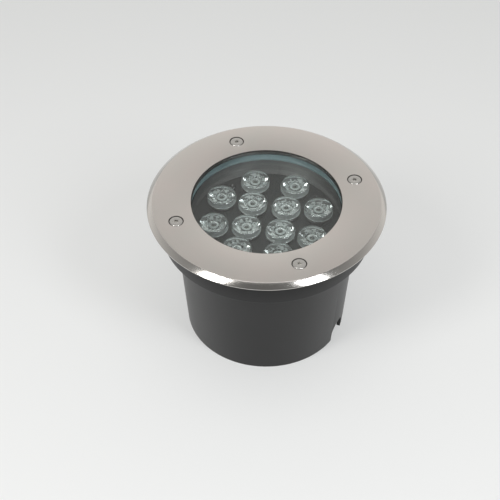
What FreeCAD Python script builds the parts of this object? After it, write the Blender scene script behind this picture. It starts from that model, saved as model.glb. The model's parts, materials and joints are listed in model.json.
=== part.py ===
import FreeCAD, Part
import math
import os
import re
import Sketcher

# In ground well light: a moulded sleeve that is set in the ground, and a sealed
# lamp unit that drops into it. Millimetres, +Z up, origin at the centre of the
# sleeve's foot, which is also the lowest plane of the whole light.

Vector = FreeCAD.Vector
UP = Vector(0, 0, 1)

# ---------------------------------------------------------------- the sizes

SIZES = {
    # stack of levels, from the foot upwards
    "cable_room": 18.0,            # free height under the gland for the cable's bend
    "gland_drop": 22.0,            # gland's reach below the rear cover
    "rear_cover_thickness": 4.0,
    "bay_depth": 30.3,             # driver bay, from the rear cover to its ceiling
    "floor_thickness": 5.0,        # cast floor between driver bay and lamp cup
    "pad_thickness": 0.5,
    "board_thickness": 1.6,
    "lens_height": 8.0,            # from the board to the top of a lens
    "lens_room": 3.1,              # from the top of a lens to the ledge
    "lower_lip": 1.2,              # gasket under the glass
    "glass_thickness": 8.0,
    "upper_lip": 0.8,              # gasket over the glass
    "ring_thickness": 3.5,
    # stack of radii, from the lenses outwards
    "cup_step": 0.5,               # cup wall stands this much outside the window
    "glass_bearing": 4.8,          # width of glass that lies on the ledge
    "gasket_wall": 1.5,            # silicone round the rim of the glass
    "gasket_gap": 0.05,            # glass to silicone
    "pocket_gap": 0.15,            # silicone to the pocket's wall
    "screw_inset": 5.8,            # pocket wall to the face screws' circle
    "screw_margin": 5.0,           # face screws' circle to the flange's rim
    "flange_gap": 0.5,             # flange to the inside of the collar
    "collar_wall": 2.5,
    "ring_overhang": 9.0,          # face ring beyond the collar
    # face ring
    "bevel_width": 3.6,
    "bevel_height": 3.0,
    "ring_edge_break": 0.3,
    "sink_radius": 5.0,            # mouth of a countersink
    "sink_angle": 90.0,
    "face_hole_radius": 2.25,
    # screws
    "face_screw_count": 4,
    "face_screw_length": 12.0,
    "m4_radius": 2.0,
    "sunk_head_radius": 4.0,
    "sunk_head_land": 0.3,
    "hex_across": 2.5,
    "hex_depth": 1.6,
    "m3_radius": 1.5,
    "m3_head_radius": 2.75,
    "m3_head_height": 1.9,
    "m3_socket": 2.0,              # hexagon socket, across its flats
    "m4_head_radius": 4.0,
    "m4_head_height": 2.6,
    "m4_socket": 2.5,
    "head_round": 0.8,             # rounded top edge of a pan head
    "thread_gap": 0.05,            # screw to tapped hole
    "seat_gap": 0.05,              # countersunk head to its seat
    "clear_gap": 0.25,             # screw to clearance hole
    "tap_reserve": 1.5,            # tapped M4 hole beyond the screw's tip
    "short_tap_reserve": 0.5,      # tapped M3 hole beyond the screw's tip
    "tip_bevel": 0.4,
    # sleeve
    "collar_height": 21.4,
    "collar_floor": 3.0,
    "bucket_room": 4.6,            # lamp cup to the inside of the bucket, at the top
    "bucket_wall": 2.5,
    "bucket_taper": 6.0,           # the bucket narrows this much down to its foot
    "moulded_edge": 0.5,
    "notch_width": 16.0,
    "notch_height": 14.4,
    # housing
    "flange_thickness": 12.0,
    "cup_wall": 3.3,
    "cup_flare": 3.0,              # sloping corner under the flange
    "boss_radius": 4.6,
    "boss_drop": 4.0,              # face screw bosses below the flange
    "rear_rim_inset": 4.0,         # least step from the cup's outer wall to the rear rim
    "rear_rim_width": 12.0,
    "rear_rim_thickness": 4.0,
    "bay_wall": 3.0,
    "bay_clearance": 2.1,          # round the driver and the terminal block
    "fin_count": 24,
    "fin_thickness": 2.0,
    "fin_setback": 0.5,            # fins end this far inside the rear rim
    "rear_screw_inset": 4.5,       # rear screws' circle inside the rear rim
    "rear_boss_radius": 4.2,
    "rear_boss_height": 12.0,
    "rear_screw_count": 4,
    "rear_screw_length": 12.0,
    # gasket and glass
    "glass_edge_break": 0.6,
    "upper_reach": 3.0,            # gasket lip over the glass, inwards
    "lower_reach": 4.3,            # gasket lip under the glass, inwards
    # board
    "board_gap": 1.2,              # board to the cup's wall
    "pad_inset": 0.5,
    "board_screw_inset": 7.5,      # board screws' circle inside the board's rim
    "board_screw_count": 4,
    "board_screw_length": 6.0,
    # lenses
    "lens_radius": 9.75,
    "lens_wall_gap": 4.75,         # outer lenses to the cup's wall
    "lens_ring_gap": 0.4,          # outer lens circle to inner lens circle, less a lens
    "inner_lens_gap": 3.5517,      # between neighbours of the inner circle
    "outer_lens_count": 8,
    "inner_lens_count": 4,
    "lens_skirt_height": 5.0,
    "lens_skirt_wall": 0.75,
    "lens_plate": 2.5,             # solid front of a lens
    "lens_crown": 0.3,             # rise of the front to its middle
    "lens_edge_round": 1.0,
    "lens_cone_gap": 0.3,          # air between cone and skirt
    "lens_tip_radius": 3.9,
    "lens_tip_height": 0.8,
    "lens_cone_bulge": 12.0,       # radius of the cone's curved flank
    "cavity_radius": 2.7,
    "cavity_depth": 3.8,
    "cavity_crown": 0.3,           # rise of the cavity's end to its middle
    "holder_inset": 0.35,          # holder's foot inside the lens's outline
    "holder_neck_inset": 0.4,
    "holder_wall": 1.8,
    "holder_foot": 1.8,
    "holder_edge": 0.3,
    "emitter_side": 3.5,
    "emitter_base": 0.9,
    "emitter_dome_radius": 1.4,
    # wire grommet and the board's leads
    "grommet_inset": 2.2,          # grommet inside the outer lens circle
    "grommet_radius": 2.5,
    "grommet_gap": 0.1,
    "grommet_flange": 1.1,         # beyond the shank, and its thickness
    "lead_radius": 0.8,
    "lead_gap": 0.05,
    "lead_spread": 1.3,            # half the distance between the two leads
    "lead_rise": 3.0,              # leads above the board before they turn
    "lead_reach": 6.5,             # from the grommet outwards to their solder pads
    "lead_bend": 2.0,
    "lead_drop": 9.0,              # leads leave the driver this far under the ceiling
    # driver
    "driver_length": 56.0,
    "driver_width": 34.0,
    "driver_height": 20.0,
    "driver_wall": 1.6,
    "driver_lid_thickness": 1.5,
    "driver_ear": 6.5,             # each ear beyond the case
    "driver_ear_width": 10.0,
    "driver_ear_thickness": 2.0,
    "driver_screw_length": 6.0,
    "circuit_gap": 0.2,            # circuit board to the case's walls
    "circuit_thickness": 1.2,
    "transformer_length": 18.0,
    "transformer_width": 16.0,
    "transformer_height": 13.0,
    "winding_depth": 2.5,          # winding's window, into each side of the core
    "capacitor_radius": 5.0,
    "capacitor_length": 14.0,
    "choke_radius": 5.0,
    "choke_wire": 2.2,
    # terminal block
    "block_length": 16.0,
    "block_width": 14.0,
    "block_height": 14.0,
    "block_gap": 4.0,              # from the driver case
    "pole_pitch": 8.0,
    "pole_radius": 1.2,
    "pole_depth": 5.0,
    "pole_drop": 10.0,             # wire holes below the ceiling
    "pole_screw_radius": 1.4,
    "pole_screw_height": 4.0,
    "pole_slot_width": 0.5,
    "pole_slot_depth": 0.7,
    # rear seal and cable gland
    "seal_inset": 3.2,             # seal's circle outside the bay's wall
    "seal_radius": 0.95,
    "seal_groove_gap": 0.1,
    "seal_groove_depth": 1.95,
    "gland_thread_radius": 7.95,
    "gland_bore": 4.3,
    "gland_hex_across": 22.0,
    "gland_hex_height": 5.0,
    "gland_washer_thickness": 1.5,
    "gland_washer_width": 2.8,
    "locknut_height": 4.0,
    "gland_thread_spare": 1.5,     # thread beyond the locknut
    "gland_foot_radius": 7.4,
    "gland_foot_length": 9.0,
    "gland_seat_radius": 6.0,
    "gland_seal_length": 9.0,
    "gland_seal_gap": 0.1,
    "gland_seal_proud": 0.8,       # seal stands this far out of the gland's foot
    "cable_radius": 3.6,           # bore of the rubber seal
    "nut_gap": 0.1,
    "nut_clearance": 0.4,          # gland's hexagon to the nut
    "nut_wall": 1.25,
    "nut_hex_across": 20.0,
    "nut_hex_height": 9.5,
    "nut_mouth": 4.6,
    "nut_end_radius": 6.5,
    # how far each group is turned about the axis, in degrees
    "notch_turn": -26.15,
    "ring_turn": 18.85,
    "lamp_turn": 34.3,
    "grommet_turn": -135.0,        # wire grommet, from the first board screw
}

doc = FreeCAD.newDocument("well_light")
sheet = doc.addObject("Spreadsheet::Sheet", "Sizes")
for row, (name, value) in enumerate(SIZES.items(), start=1):
    sheet.set(f"A{row}", name)
    sheet.set(f"B{row}", str(value))
    sheet.setAlias(f"B{row}", name)
doc.recompute()

# Levels and fits that follow from the sizes, so that mating pieces share them.
FITS = {
    # levels above the foot
    "cover_level": "cable_room + gland_drop",
    "seal_level": "cover_level - gland_washer_thickness - gland_hex_height"
                  " - gland_foot_length - gland_seal_proud",
    "rear_level": "cover_level + rear_cover_thickness",
    "ceiling_level": "rear_level + bay_depth",
    "floor_level": "ceiling_level + floor_thickness",
    "pad_level": "floor_level + pad_thickness",
    "board_level": "pad_level + board_thickness",
    "ledge_level": "board_level + lens_height + lens_room",
    "glass_level": "ledge_level + lower_lip",
    "seat_level": "glass_level + glass_thickness + upper_lip",
    "flange_level": "seat_level - flange_thickness",
    "collar_level": "seat_level - collar_height",
    "face_level": "seat_level + ring_thickness",
    # radii
    "inner_lens_circle": "(lens_radius + inner_lens_gap / 2) / sin(180 / inner_lens_count)",
    "outer_lens_circle": "inner_lens_circle + 2 * lens_radius + lens_ring_gap",
    "cup_radius": "outer_lens_circle + lens_radius + lens_wall_gap",
    "window_radius": "cup_radius - cup_step",
    "glass_radius": "cup_radius + glass_bearing",
    "gasket_radius": "glass_radius + gasket_gap + gasket_wall",
    "pocket_radius": "gasket_radius + pocket_gap",
    "face_screw_circle": "pocket_radius + screw_inset",
    "flange_radius": "face_screw_circle + screw_margin",
    "collar_bore": "flange_radius + flange_gap",
    "collar_radius": "collar_bore + collar_wall",
    "ring_radius": "collar_radius + ring_overhang",
    "driver_reach": "hypot(driver_length / 2 + driver_ear; driver_ear_width / 2)",
    "driver_corner": "hypot(driver_length / 2; driver_width / 2)",
    "block_reach": "hypot(driver_width / 2 + block_gap + block_width; block_length / 2)",
    "bay_radius": "max(driver_reach; driver_corner; block_reach) + bay_clearance",
    "rear_radius": "bay_radius + rear_rim_width",
    "cup_outside": "max(cup_radius + cup_wall; rear_radius + rear_rim_inset)",
    "bucket_bore": "cup_outside + bucket_room",
    "bucket_radius": "bucket_bore + bucket_wall",
    "foot_radius": "bucket_radius - bucket_taper",
    "rear_screw_circle": "rear_radius - rear_screw_inset",
    "seal_circle": "bay_radius + seal_inset",
    "board_radius": "cup_radius - board_gap",
    "board_screw_circle": "board_radius - board_screw_inset",
    "grommet_circle": "outer_lens_circle - grommet_inset",
    # heads and holes
    "head_level": "face_level - (sink_radius - sunk_head_radius) / tan(sink_angle / 2)"
                  " + sunk_head_land + seat_gap",
    "m4_tapping": "m4_radius + thread_gap",
    "m3_tapping": "m3_radius + thread_gap",
    "m4_clearance": "m4_radius + clear_gap",
    "m3_clearance": "m3_radius + clear_gap",
    "grommet_hole": "grommet_radius + grommet_gap",
    # turns about the axis
    "bosses_turn": "ring_turn - lamp_turn",
    "bay_turn": "lamp_turn + grommet_turn + 90",
}

fits = doc.addObject("App::VarSet", "Fits")
for name in FITS:
    fits.addProperty("App::PropertyFloat", name, "Fits")


def expression(words):
    """Prefix every known size in a formula with the object that holds it."""
    def owner(match):
        word = match.group(0)
        if word in SIZES:
            return "Sizes." + word
        if word in FITS:
            return "Fits." + word
        return word
    return re.sub(r"[a-z][a-z0-9_]*", owner, str(words))


for name, words in FITS.items():
    fits.setExpression(name, expression(words))
doc.recompute()


def size(words):
    """The value of a formula on the sheet."""
    return float(fits.evalExpression(expression(words)))


# ------------------------------------------------------------ drawing helpers

def new_body(label):
    body = doc.addObject("PartDesign::Body", label)
    body.Label = label
    return body


def set_down(piece, level, turn="0"):
    """Put a piece at its level, turned about the light's axis."""
    piece.setExpression("Placement", expression(
        f"placement(vector(0; 0; {level}); rotation(vector(0; 0; 1); {turn}))"))


def origin_feature(body, role):
    return next(item for item in body.Origin.OriginFeatures if item.Role == role)


def sketch_on(body, name, role, level="0", turn="0"):
    """A sketch on one of the body's own planes, lifted and turned in it."""
    sketch = body.newObject("Sketcher::SketchObject", name)
    sketch.AttachmentSupport = [(origin_feature(body, role), "")]
    sketch.MapMode = "FlatFace"
    sketch.setExpression("AttachmentOffset", expression(
        f"placement(vector(0; 0; {level}); rotation(vector(0; 0; 1); {turn}))"))
    return sketch


def dimension(sketch, kind, where, words):
    """A dimension on the sketch that follows a formula."""
    if str(words) == "0":
        axis = -2 if kind == "DistanceX" else -1
        sketch.addConstraint(Sketcher.Constraint("PointOnObject", where[0], where[1], axis))
        return
    index = sketch.addConstraint(Sketcher.Constraint(kind, -1, 1, where[0], where[1], size(words)))
    sketch.setExpression(f"Constraints[{index}]", expression(words))


FLATTEST = 1.0001      # an arc's radius is at least this many half chords
LEAD_TOLERANCE = 0.01  # of a lead's volume, against its section times its length


def bulged(start, end, radius):
    """The arc from start to end: left of the chord for a positive radius."""
    chord = end - start
    half = chord.Length / 2
    reach = max(abs(radius), half * FLATTEST)
    rise = reach - math.sqrt(reach * reach - half * half)
    side = Vector(-chord.y, chord.x, 0).normalize() * math.copysign(rise, radius)
    return Part.Arc(start, (start + end) / 2 + side, end)


def outline(sketch, corners):
    """A closed outline through corners (across, up) or (across, up, arc radius):
    a third value makes the stretch from that corner to the next one an arc."""
    points = [Vector(size(corner[0]), size(corner[1]), 0) for corner in corners]
    ends = []
    for index, corner in enumerate(corners):
        start = points[index]
        end = points[(index + 1) % len(points)]
        if len(corner) == 2:
            edge = sketch.addGeometry(Part.LineSegment(start, end))
            ends.append(((edge, 1), (edge, 2)))
            continue
        edge = sketch.addGeometry(bulged(start, end, size(corner[2])))
        first, last = (edge, 1), (edge, 2)
        if (sketch.getPoint(edge, 1) - start).Length > (sketch.getPoint(edge, 2) - start).Length:
            first, last = last, first
        ends.append((first, last))
        radius = sketch.addConstraint(
            Sketcher.Constraint("Radius", edge, abs(size(corner[2]))))
        sketch.setExpression(f"Constraints[{radius}]", expression(f"abs({corner[2]})"))
    for index, corner in enumerate(corners):
        before = ends[index - 1][1]
        after = ends[index][0]
        sketch.addConstraint(Sketcher.Constraint("Coincident", *before, *after))
        dimension(sketch, "DistanceX", after, corner[0])
        dimension(sketch, "DistanceY", after, corner[1])


def rectangle(sketch, length, width, across="0", up="0"):
    """A rectangle about a middle point."""
    outline(sketch, [(f"{across} - {length} / 2", f"{up} - {width} / 2"),
                     (f"{across} + {length} / 2", f"{up} - {width} / 2"),
                     (f"{across} + {length} / 2", f"{up} + {width} / 2"),
                     (f"{across} - {length} / 2", f"{up} + {width} / 2")])


def hexagon(sketch, across_flats):
    """A hexagon about the middle, with a corner on the sketch's first axis."""
    corner = f"{across_flats} / sqrt(3)"
    half = f"{across_flats} / sqrt(3) / 2"
    flat = f"{across_flats} / 2"
    outline(sketch, [(corner, "0"), (half, flat), (f"-{half}", flat),
                     (f"-{corner}", "0"), (f"-{half}", f"-{flat}"), (half, f"-{flat}")])


def circle(sketch, radius, across="0", up="0"):
    middle = Vector(size(across), size(up), 0)
    edge = sketch.addGeometry(Part.Circle(middle, UP, size(radius)))
    index = sketch.addConstraint(Sketcher.Constraint("Radius", edge, size(radius)))
    sketch.setExpression(f"Constraints[{index}]", expression(radius))
    dimension(sketch, "DistanceX", (edge, 3), across)
    dimension(sketch, "DistanceY", (edge, 3), up)


def turned(body, name, corners):
    """A solid turned about the body's own Z axis."""
    sketch = sketch_on(body, name + "_profile", "XZ_Plane")
    outline(sketch, corners)
    feature = body.newObject("PartDesign::Revolution", name)
    feature.Profile = sketch
    feature.ReferenceAxis = (sketch, ["V_Axis"])
    feature.Angle = 360
    doc.recompute()
    return feature


def padded(body, name, sketch, length, down=False):
    feature = body.newObject("PartDesign::Pad", name)
    feature.Profile = sketch
    feature.Reversed = down
    feature.setExpression("Length", expression(length))
    doc.recompute()
    return feature


def pocketed(body, name, sketch, depth, up=False):
    """A pocket below its sketch, or above it. It has to take something away."""
    before = body.Shape.Volume
    feature = body.newObject("PartDesign::Pocket", name)
    feature.Profile = sketch
    feature.Reversed = up
    feature.setExpression("Length", expression(depth))
    doc.recompute()
    if not body.Shape.Volume < before:
        raise RuntimeError(f"{body.Label}: {name} cuts nothing")
    return feature


def patterned(body, name, feature, count):
    """Copies of a feature round the body's Z axis."""
    pattern = body.newObject("PartDesign::PolarPattern", name)
    pattern.Originals = [feature]
    pattern.Axis = (origin_feature(body, "Z_Axis"), [""])
    pattern.Angle = 360
    pattern.setExpression("Occurrences", expression(count))
    body.Tip = pattern
    doc.recompute()
    return pattern


def drilled_ring(body, name, circle_radius, hole_radius, count, depth, level, turn="0", up=False):
    """Round holes on a circle about the axis."""
    sketch = sketch_on(body, name + "_spot", "XY_Plane", level, turn)
    circle(sketch, hole_radius, circle_radius)
    hole = pocketed(body, name + "_hole", sketch, depth, up)
    return patterned(body, name + "_holes", hole, count)


def boss_ring(body, name, circle_radius, boss_radius, count, height, level, turn="0"):
    """Round bosses on a circle about the axis, standing up from their level."""
    sketch = sketch_on(body, name + "_spot", "XY_Plane", level, turn)
    circle(sketch, boss_radius, circle_radius)
    boss = padded(body, name + "_boss", sketch, height)
    return patterned(body, name + "_bosses", boss, count)


PARTS = []


def keep(piece):
    """A finished sub-part, written to its own file."""
    PARTS.append(piece)
    return piece


def keep_copies(label, pattern_shape, places):
    """One node that holds several separate solids, each a copy of one shape."""
    group = doc.addObject("Part::Feature", label)
    group.Label = label
    solids = []
    for place in places:
        solid = pattern_shape.copy()
        solid.Placement = place.multiply(solid.Placement)
        solids.append(solid)
    group.Shape = Part.makeCompound(solids)
    return keep(group)


def around(circle_radius, level, count, turn):
    """Places on a circle about the light's axis, each turned with its place."""
    places = []
    for step in range(int(count)):
        spin = FreeCAD.Rotation(UP, turn + step * 360.0 / count)
        places.append(FreeCAD.Placement(spin.multVec(Vector(circle_radius, 0, level)), spin))
    return places


# ------------------------------------------------------------------ the sleeve

def mounting_sleeve():
    """Black moulded bucket with a wide collar, open at the foot."""
    body = new_body("mounting_sleeve")
    edge = "moulded_edge"
    turned(body, "shell", [
        (f"foot_radius - {edge}", "0"),
        ("foot_radius", edge),
        ("bucket_radius", "collar_level"),
        (f"collar_radius - {edge}", "collar_level"),
        ("collar_radius", f"collar_level + {edge}"),
        ("collar_radius", "seat_level"),
        ("collar_bore", "seat_level"),
        ("collar_bore", "collar_level + collar_floor"),
        ("bucket_bore", "collar_level + collar_floor"),
        ("foot_radius - bucket_wall", "0"),
    ])
    # cable notch: straight jambs under a half-round arch, through one wall
    sketch = sketch_on(body, "notch_outline", "XZ_Plane")
    below = "-moulded_edge"
    outline(sketch, [
        ("-notch_width / 2", below),
        ("notch_width / 2", below),
        ("notch_width / 2", "notch_height - notch_width / 2", "-notch_width / 2"),
        ("-notch_width / 2", "notch_height - notch_width / 2"),
    ])
    pocketed(body, "cable_notch", sketch, "foot_radius + bucket_taper", up=True)
    set_down(body, "0", "notch_turn + 90")
    return keep(body)


# ------------------------------------------------------------- window and ring

def face_ring():
    """Stainless ring: flat top, wide bevel, thin lower land, sunk screw holes."""
    body = new_body("face_ring")
    turned(body, "plate", [
        ("window_radius", "0"),
        ("ring_radius", "0"),
        ("ring_radius", "ring_thickness - bevel_height"),
        ("ring_radius - bevel_width", "ring_thickness"),
        ("window_radius + ring_edge_break", "ring_thickness"),
        ("window_radius", "ring_thickness - ring_edge_break"),
    ])
    spot = sketch_on(body, "screw_spot", "XY_Plane", "ring_thickness")
    circle(spot, "face_hole_radius", "face_screw_circle")
    doc.recompute()
    hole = body.newObject("PartDesign::Hole", "sunk_hole")
    hole.Profile = spot
    doc.recompute()
    hole.DepthType = "ThroughAll"
    hole.HoleCutType = "Countersink"
    hole.setExpression("HoleCutCountersinkAngle", expression("sink_angle"))
    hole.setExpression("Diameter", expression("face_hole_radius * 2"))
    hole.setExpression("HoleCutDiameter", expression("sink_radius * 2"))
    doc.recompute()
    patterned(body, "sunk_holes", hole, "face_screw_count")
    set_down(body, "seat_level", "ring_turn")
    return keep(body)


def sunk_screw():
    """Countersunk hexagon socket screw, its head's top at the origin."""
    body = new_body("sunk_screw")
    cone = "(sunk_head_radius - m4_radius) / tan(sink_angle / 2)"
    turned(body, "blank", [
        ("0", "-face_screw_length"),
        ("m4_radius - tip_bevel", "-face_screw_length"),
        ("m4_radius", "tip_bevel - face_screw_length"),
        ("m4_radius", f"-(sunk_head_land + {cone})"),
        ("sunk_head_radius", "-sunk_head_land"),
        ("sunk_head_radius", "0"),
        ("0", "0"),
    ])
    sketch = sketch_on(body, "socket_outline", "XY_Plane")
    hexagon(sketch, "hex_across")
    pocketed(body, "socket", sketch, "hex_depth")
    return body


def pan_screw(label, radius, head_radius, head_height, socket, length, tip_up=True):
    """Pan head screw with a socket: its seat is at the origin, and its thread
    goes up, or down, from there."""
    body = new_body(label)
    turned(body, "blank", [
        ("0", f"-{head_height}"),
        (f"{head_radius} - head_round", f"-{head_height}", "-head_round"),
        (head_radius, f"head_round - {head_height}"),
        (head_radius, "0"),
        (radius, "0"),
        (radius, f"{length} - tip_bevel"),
        (f"{radius} - tip_bevel", length),
        ("0", length),
    ])
    sketch = sketch_on(body, "socket_outline", "XY_Plane", f"-{head_height}")
    hexagon(sketch, socket)
    pocketed(body, "socket", sketch, f"{head_height} / 2", up=True)
    if not tip_up:
        body.Placement = FreeCAD.Placement(Vector(), FreeCAD.Rotation(Vector(1, 0, 0), 180))
    doc.recompute()
    return body


def cover_glass():
    """Toughened glass disc with ground edges."""
    body = new_body("cover_glass")
    edge = "glass_edge_break"
    turned(body, "disc", [
        ("0", "0"),
        (f"glass_radius - {edge}", "0"),
        ("glass_radius", edge),
        ("glass_radius", f"glass_thickness - {edge}"),
        (f"glass_radius - {edge}", "glass_thickness"),
        ("0", "glass_thickness"),
    ])
    set_down(body, "glass_level")
    return keep(body)


def glass_gasket():
    """Silicone ring of U section that wraps the rim of the glass."""
    body = new_body("glass_gasket")
    top = "lower_lip + glass_thickness"
    groove = "glass_radius + gasket_gap"
    turned(body, "section", [
        ("glass_radius - lower_reach", "0"),
        ("gasket_radius", "0"),
        ("gasket_radius", f"{top} + upper_lip"),
        ("glass_radius - upper_reach", f"{top} + upper_lip"),
        ("glass_radius - upper_reach", top),
        (groove, top),
        (groove, "lower_lip"),
        ("glass_radius - lower_reach", "lower_lip"),
    ])
    set_down(body, "ledge_level")
    return keep(body)


# ----------------------------------------------------------------- the housing

def lamp_housing():
    """One casting: glass pocket, lamp cup, floor, finned driver bay, rear rim.
    Its own zero is the rear face that the rear cover closes."""
    body = new_body("lamp_housing")
    ceiling = "bay_depth"
    floor = "floor_level - rear_level"
    ledge = "ledge_level - rear_level"
    seat = "seat_level - rear_level"
    under = "flange_level - rear_level"
    turned(body, "casting", [
        ("bay_radius", "0"),
        ("rear_radius", "0"),
        ("rear_radius", "rear_rim_thickness"),
        ("bay_radius + bay_wall", "rear_rim_thickness"),
        ("bay_radius + bay_wall", ceiling),
        ("cup_outside", ceiling),
        ("cup_outside", f"{under} - cup_flare"),
        ("cup_outside + cup_flare", under),
        ("flange_radius", under),
        ("flange_radius", seat),
        ("pocket_radius", seat),
        ("pocket_radius", ledge),
        ("cup_radius", ledge),
        ("cup_radius", floor),
        ("0", floor),
        ("0", ceiling),
        ("bay_radius", ceiling),
    ])
    # cooling fins between the rear rim and the underside of the cup
    sketch = sketch_on(body, "fin_outline", "XY_Plane", "rear_rim_thickness")
    root = "(bay_radius + bay_wall / 2)"
    tip = "(rear_radius - fin_setback)"
    rectangle(sketch, f"({tip} - {root})", "fin_thickness", f"({tip} + {root}) / 2")
    fin = padded(body, "fin", sketch, f"{ceiling} - rear_rim_thickness")
    patterned(body, "fins", fin, "fin_count")
    boss_ring(body, "rear", "rear_screw_circle", "rear_boss_radius", "rear_screw_count",
              "rear_boss_height", "0")
    boss_ring(body, "face", "face_screw_circle", "boss_radius", "face_screw_count",
              "boss_drop", f"{under} - boss_drop", "bosses_turn")
    # tapped holes
    rear_reach = "rear_screw_length - rear_cover_thickness"
    drilled_ring(body, "rear_tap", "rear_screw_circle", "m4_tapping", "rear_screw_count",
                 f"{rear_reach} + tap_reserve", "0", up=True)
    drilled_ring(body, "face_tap", "face_screw_circle", "m4_tapping", "face_screw_count",
                 "face_screw_length - (head_level - seat_level) + tap_reserve", seat, "bosses_turn")
    drilled_ring(body, "board_tap", "board_screw_circle", "m3_tapping", "board_screw_count",
                 "board_screw_length - board_thickness - pad_thickness + short_tap_reserve", floor)
    drilled_ring(body, "driver_tap", "driver_length / 2 + driver_ear / 2", "m3_tapping", "2",
                 "driver_screw_length - driver_ear_thickness + short_tap_reserve", ceiling,
                 "bay_turn - lamp_turn", up=True)
    # hole for the wire grommet through the floor
    sketch = sketch_on(body, "wire_spot", "XY_Plane", floor, "grommet_turn")
    circle(sketch, "grommet_hole", "grommet_circle")
    pocketed(body, "wire_hole", sketch, "floor_thickness")
    set_down(body, "rear_level", "lamp_turn")
    return keep(body)


# ------------------------------------------------------------- board and optics

def drilled_disc(label, radius, thickness, level):
    """Round sheet on the housing floor, with the board's holes."""
    body = new_body(label)
    turned(body, "disc", [("0", "0"), (radius, "0"), (radius, thickness), ("0", thickness)])
    drilled_ring(body, "screw", "board_screw_circle", "m3_clearance", "board_screw_count",
                 thickness, thickness)
    sketch = sketch_on(body, "wire_spot", "XY_Plane", thickness, "grommet_turn")
    circle(sketch, "grommet_hole", "grommet_circle")
    pocketed(body, "wire_hole", sketch, thickness)
    set_down(body, level, "lamp_turn")
    return keep(body)


def lens_blank():
    """Clear moulded lens: solid front, reflecting cone with a cavity for the
    emitter, and a thin skirt that stands on the holder."""
    body = new_body("lens_blank")
    top = "lens_height"
    skirt = "lens_height - lens_skirt_height"
    plate = "lens_height - lens_plate"
    bore = "lens_radius - lens_skirt_wall"
    shoulder = f"{top} - lens_crown"
    crown_half = "(lens_radius - lens_edge_round)"
    turned(body, "moulding", [
        ("0", "lens_tip_height + cavity_depth"),
        ("cavity_radius", "lens_tip_height + cavity_depth - cavity_crown"),
        ("cavity_radius", "lens_tip_height"),
        ("lens_tip_radius", "lens_tip_height", "-lens_cone_bulge"),
        (f"{bore} - lens_cone_gap", plate),
        (bore, plate),
        (bore, skirt),
        ("lens_radius", skirt),
        ("lens_radius", f"{shoulder} - lens_edge_round", "-lens_edge_round"),
        (crown_half, shoulder,
         f"-({crown_half} * {crown_half} + lens_crown * lens_crown) / (2 * lens_crown)"),
        ("0", top),
    ])
    return body


def holder_blank():
    """Dark seat ring of a lens: a foot, and a neck that the skirt stands on."""
    body = new_body("holder_blank")
    foot = "lens_radius - holder_inset"
    bore = f"{foot} - holder_wall"
    top = "lens_height - lens_skirt_height"
    turned(body, "ring", [
        (bore, "0"),
        (foot, "0"),
        (foot, "holder_foot - holder_edge"),
        (f"{foot} - holder_edge", "holder_foot"),
        (f"{foot} - holder_neck_inset", "holder_foot"),
        (f"{foot} - holder_neck_inset", top),
        (bore, top),
    ])
    return body


def emitter_blank():
    """One emitter: square base with a small clear dome."""
    body = new_body("emitter_blank")
    dome = "emitter_dome_radius"
    turned(body, "dome", [("0", "0"), (dome, "0"), (dome, "emitter_base", f"-{dome}"),
                          ("0", f"emitter_base + {dome}")])
    sketch = sketch_on(body, "base_outline", "XY_Plane")
    rectangle(sketch, "emitter_side", "emitter_side")
    padded(body, "base", sketch, "emitter_base")
    return body


def optics():
    """Twelve lenses on their holders over twelve emitters: an outer circle,
    then an inner one that sits in its gaps."""
    level = fits.board_level
    outer_turn = sheet.lamp_turn - 180.0 / sheet.outer_lens_count
    places = around(fits.outer_lens_circle, level, sheet.outer_lens_count, outer_turn)
    places += around(fits.inner_lens_circle, level, sheet.inner_lens_count, sheet.lamp_turn)
    lens = lens_blank()
    holder = holder_blank()
    emitter = emitter_blank()
    for number, place in enumerate(places, start=1):
        for label, blank in (("lens", lens), ("lens_holder", holder)):
            piece = doc.addObject("Part::Feature", f"{label}_{number:02d}")
            piece.Label = f"{label}_{number:02d}"
            piece.Shape = blank.Shape.copy()
            piece.Placement = place
            keep(piece)
    keep_copies("led_emitters", emitter.Shape, places)


def wire_grommet():
    """Silicone grommet through floor, pad and board, with two wire bores."""
    body = new_body("wire_grommet")
    wide = "grommet_radius + grommet_flange"
    upper = "board_level - ceiling_level"
    turned(body, "plug", [
        ("0", "-grommet_flange"),
        (wide, "-grommet_flange"),
        (wide, "0"),
        ("grommet_radius", "0"),
        ("grommet_radius", upper),
        (wide, upper),
        (wide, f"{upper} + grommet_flange"),
        ("0", f"{upper} + grommet_flange"),
    ])
    for side, sign in (("left", "-"), ("right", "")):
        sketch = sketch_on(body, f"{side}_spot", "XY_Plane", f"{upper} + grommet_flange")
        circle(sketch, "lead_radius + lead_gap", f"{sign}lead_spread")
        pocketed(body, f"{side}_bore", sketch, f"{upper} + grommet_flange * 2")
    body.setExpression("Placement", expression(
        "placement(vector(0; 0; ceiling_level); rotation(vector(0; 0; 1); bay_turn))"
        " * placement(vector(0; -grommet_circle; 0); rotation(vector(0; 0; 1); 0))"))
    return keep(body)


# ------------------------------------------------------------------- the leads

def smooth_path(points, bend):
    """Straight runs joined by tangent arcs."""
    edges = []
    start = points[0]
    for before, corner, after in zip(points, points[1:], points[2:]):
        inward = (before - corner).normalize()
        onward = (after - corner).normalize()
        angle = inward.getAngle(onward)
        setback = bend / math.tan(angle / 2)
        first = corner + inward * setback
        last = corner + onward * setback
        middle = (inward + onward).normalize()
        centre = corner + middle * (bend / math.sin(angle / 2))
        edges.append(Part.LineSegment(start, first).toShape())
        edges.append(Part.Arc(first, centre - middle * bend, last).toShape())
        start = last
    edges.append(Part.LineSegment(start, points[-1]).toShape())
    return Part.Wire(edges)


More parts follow.
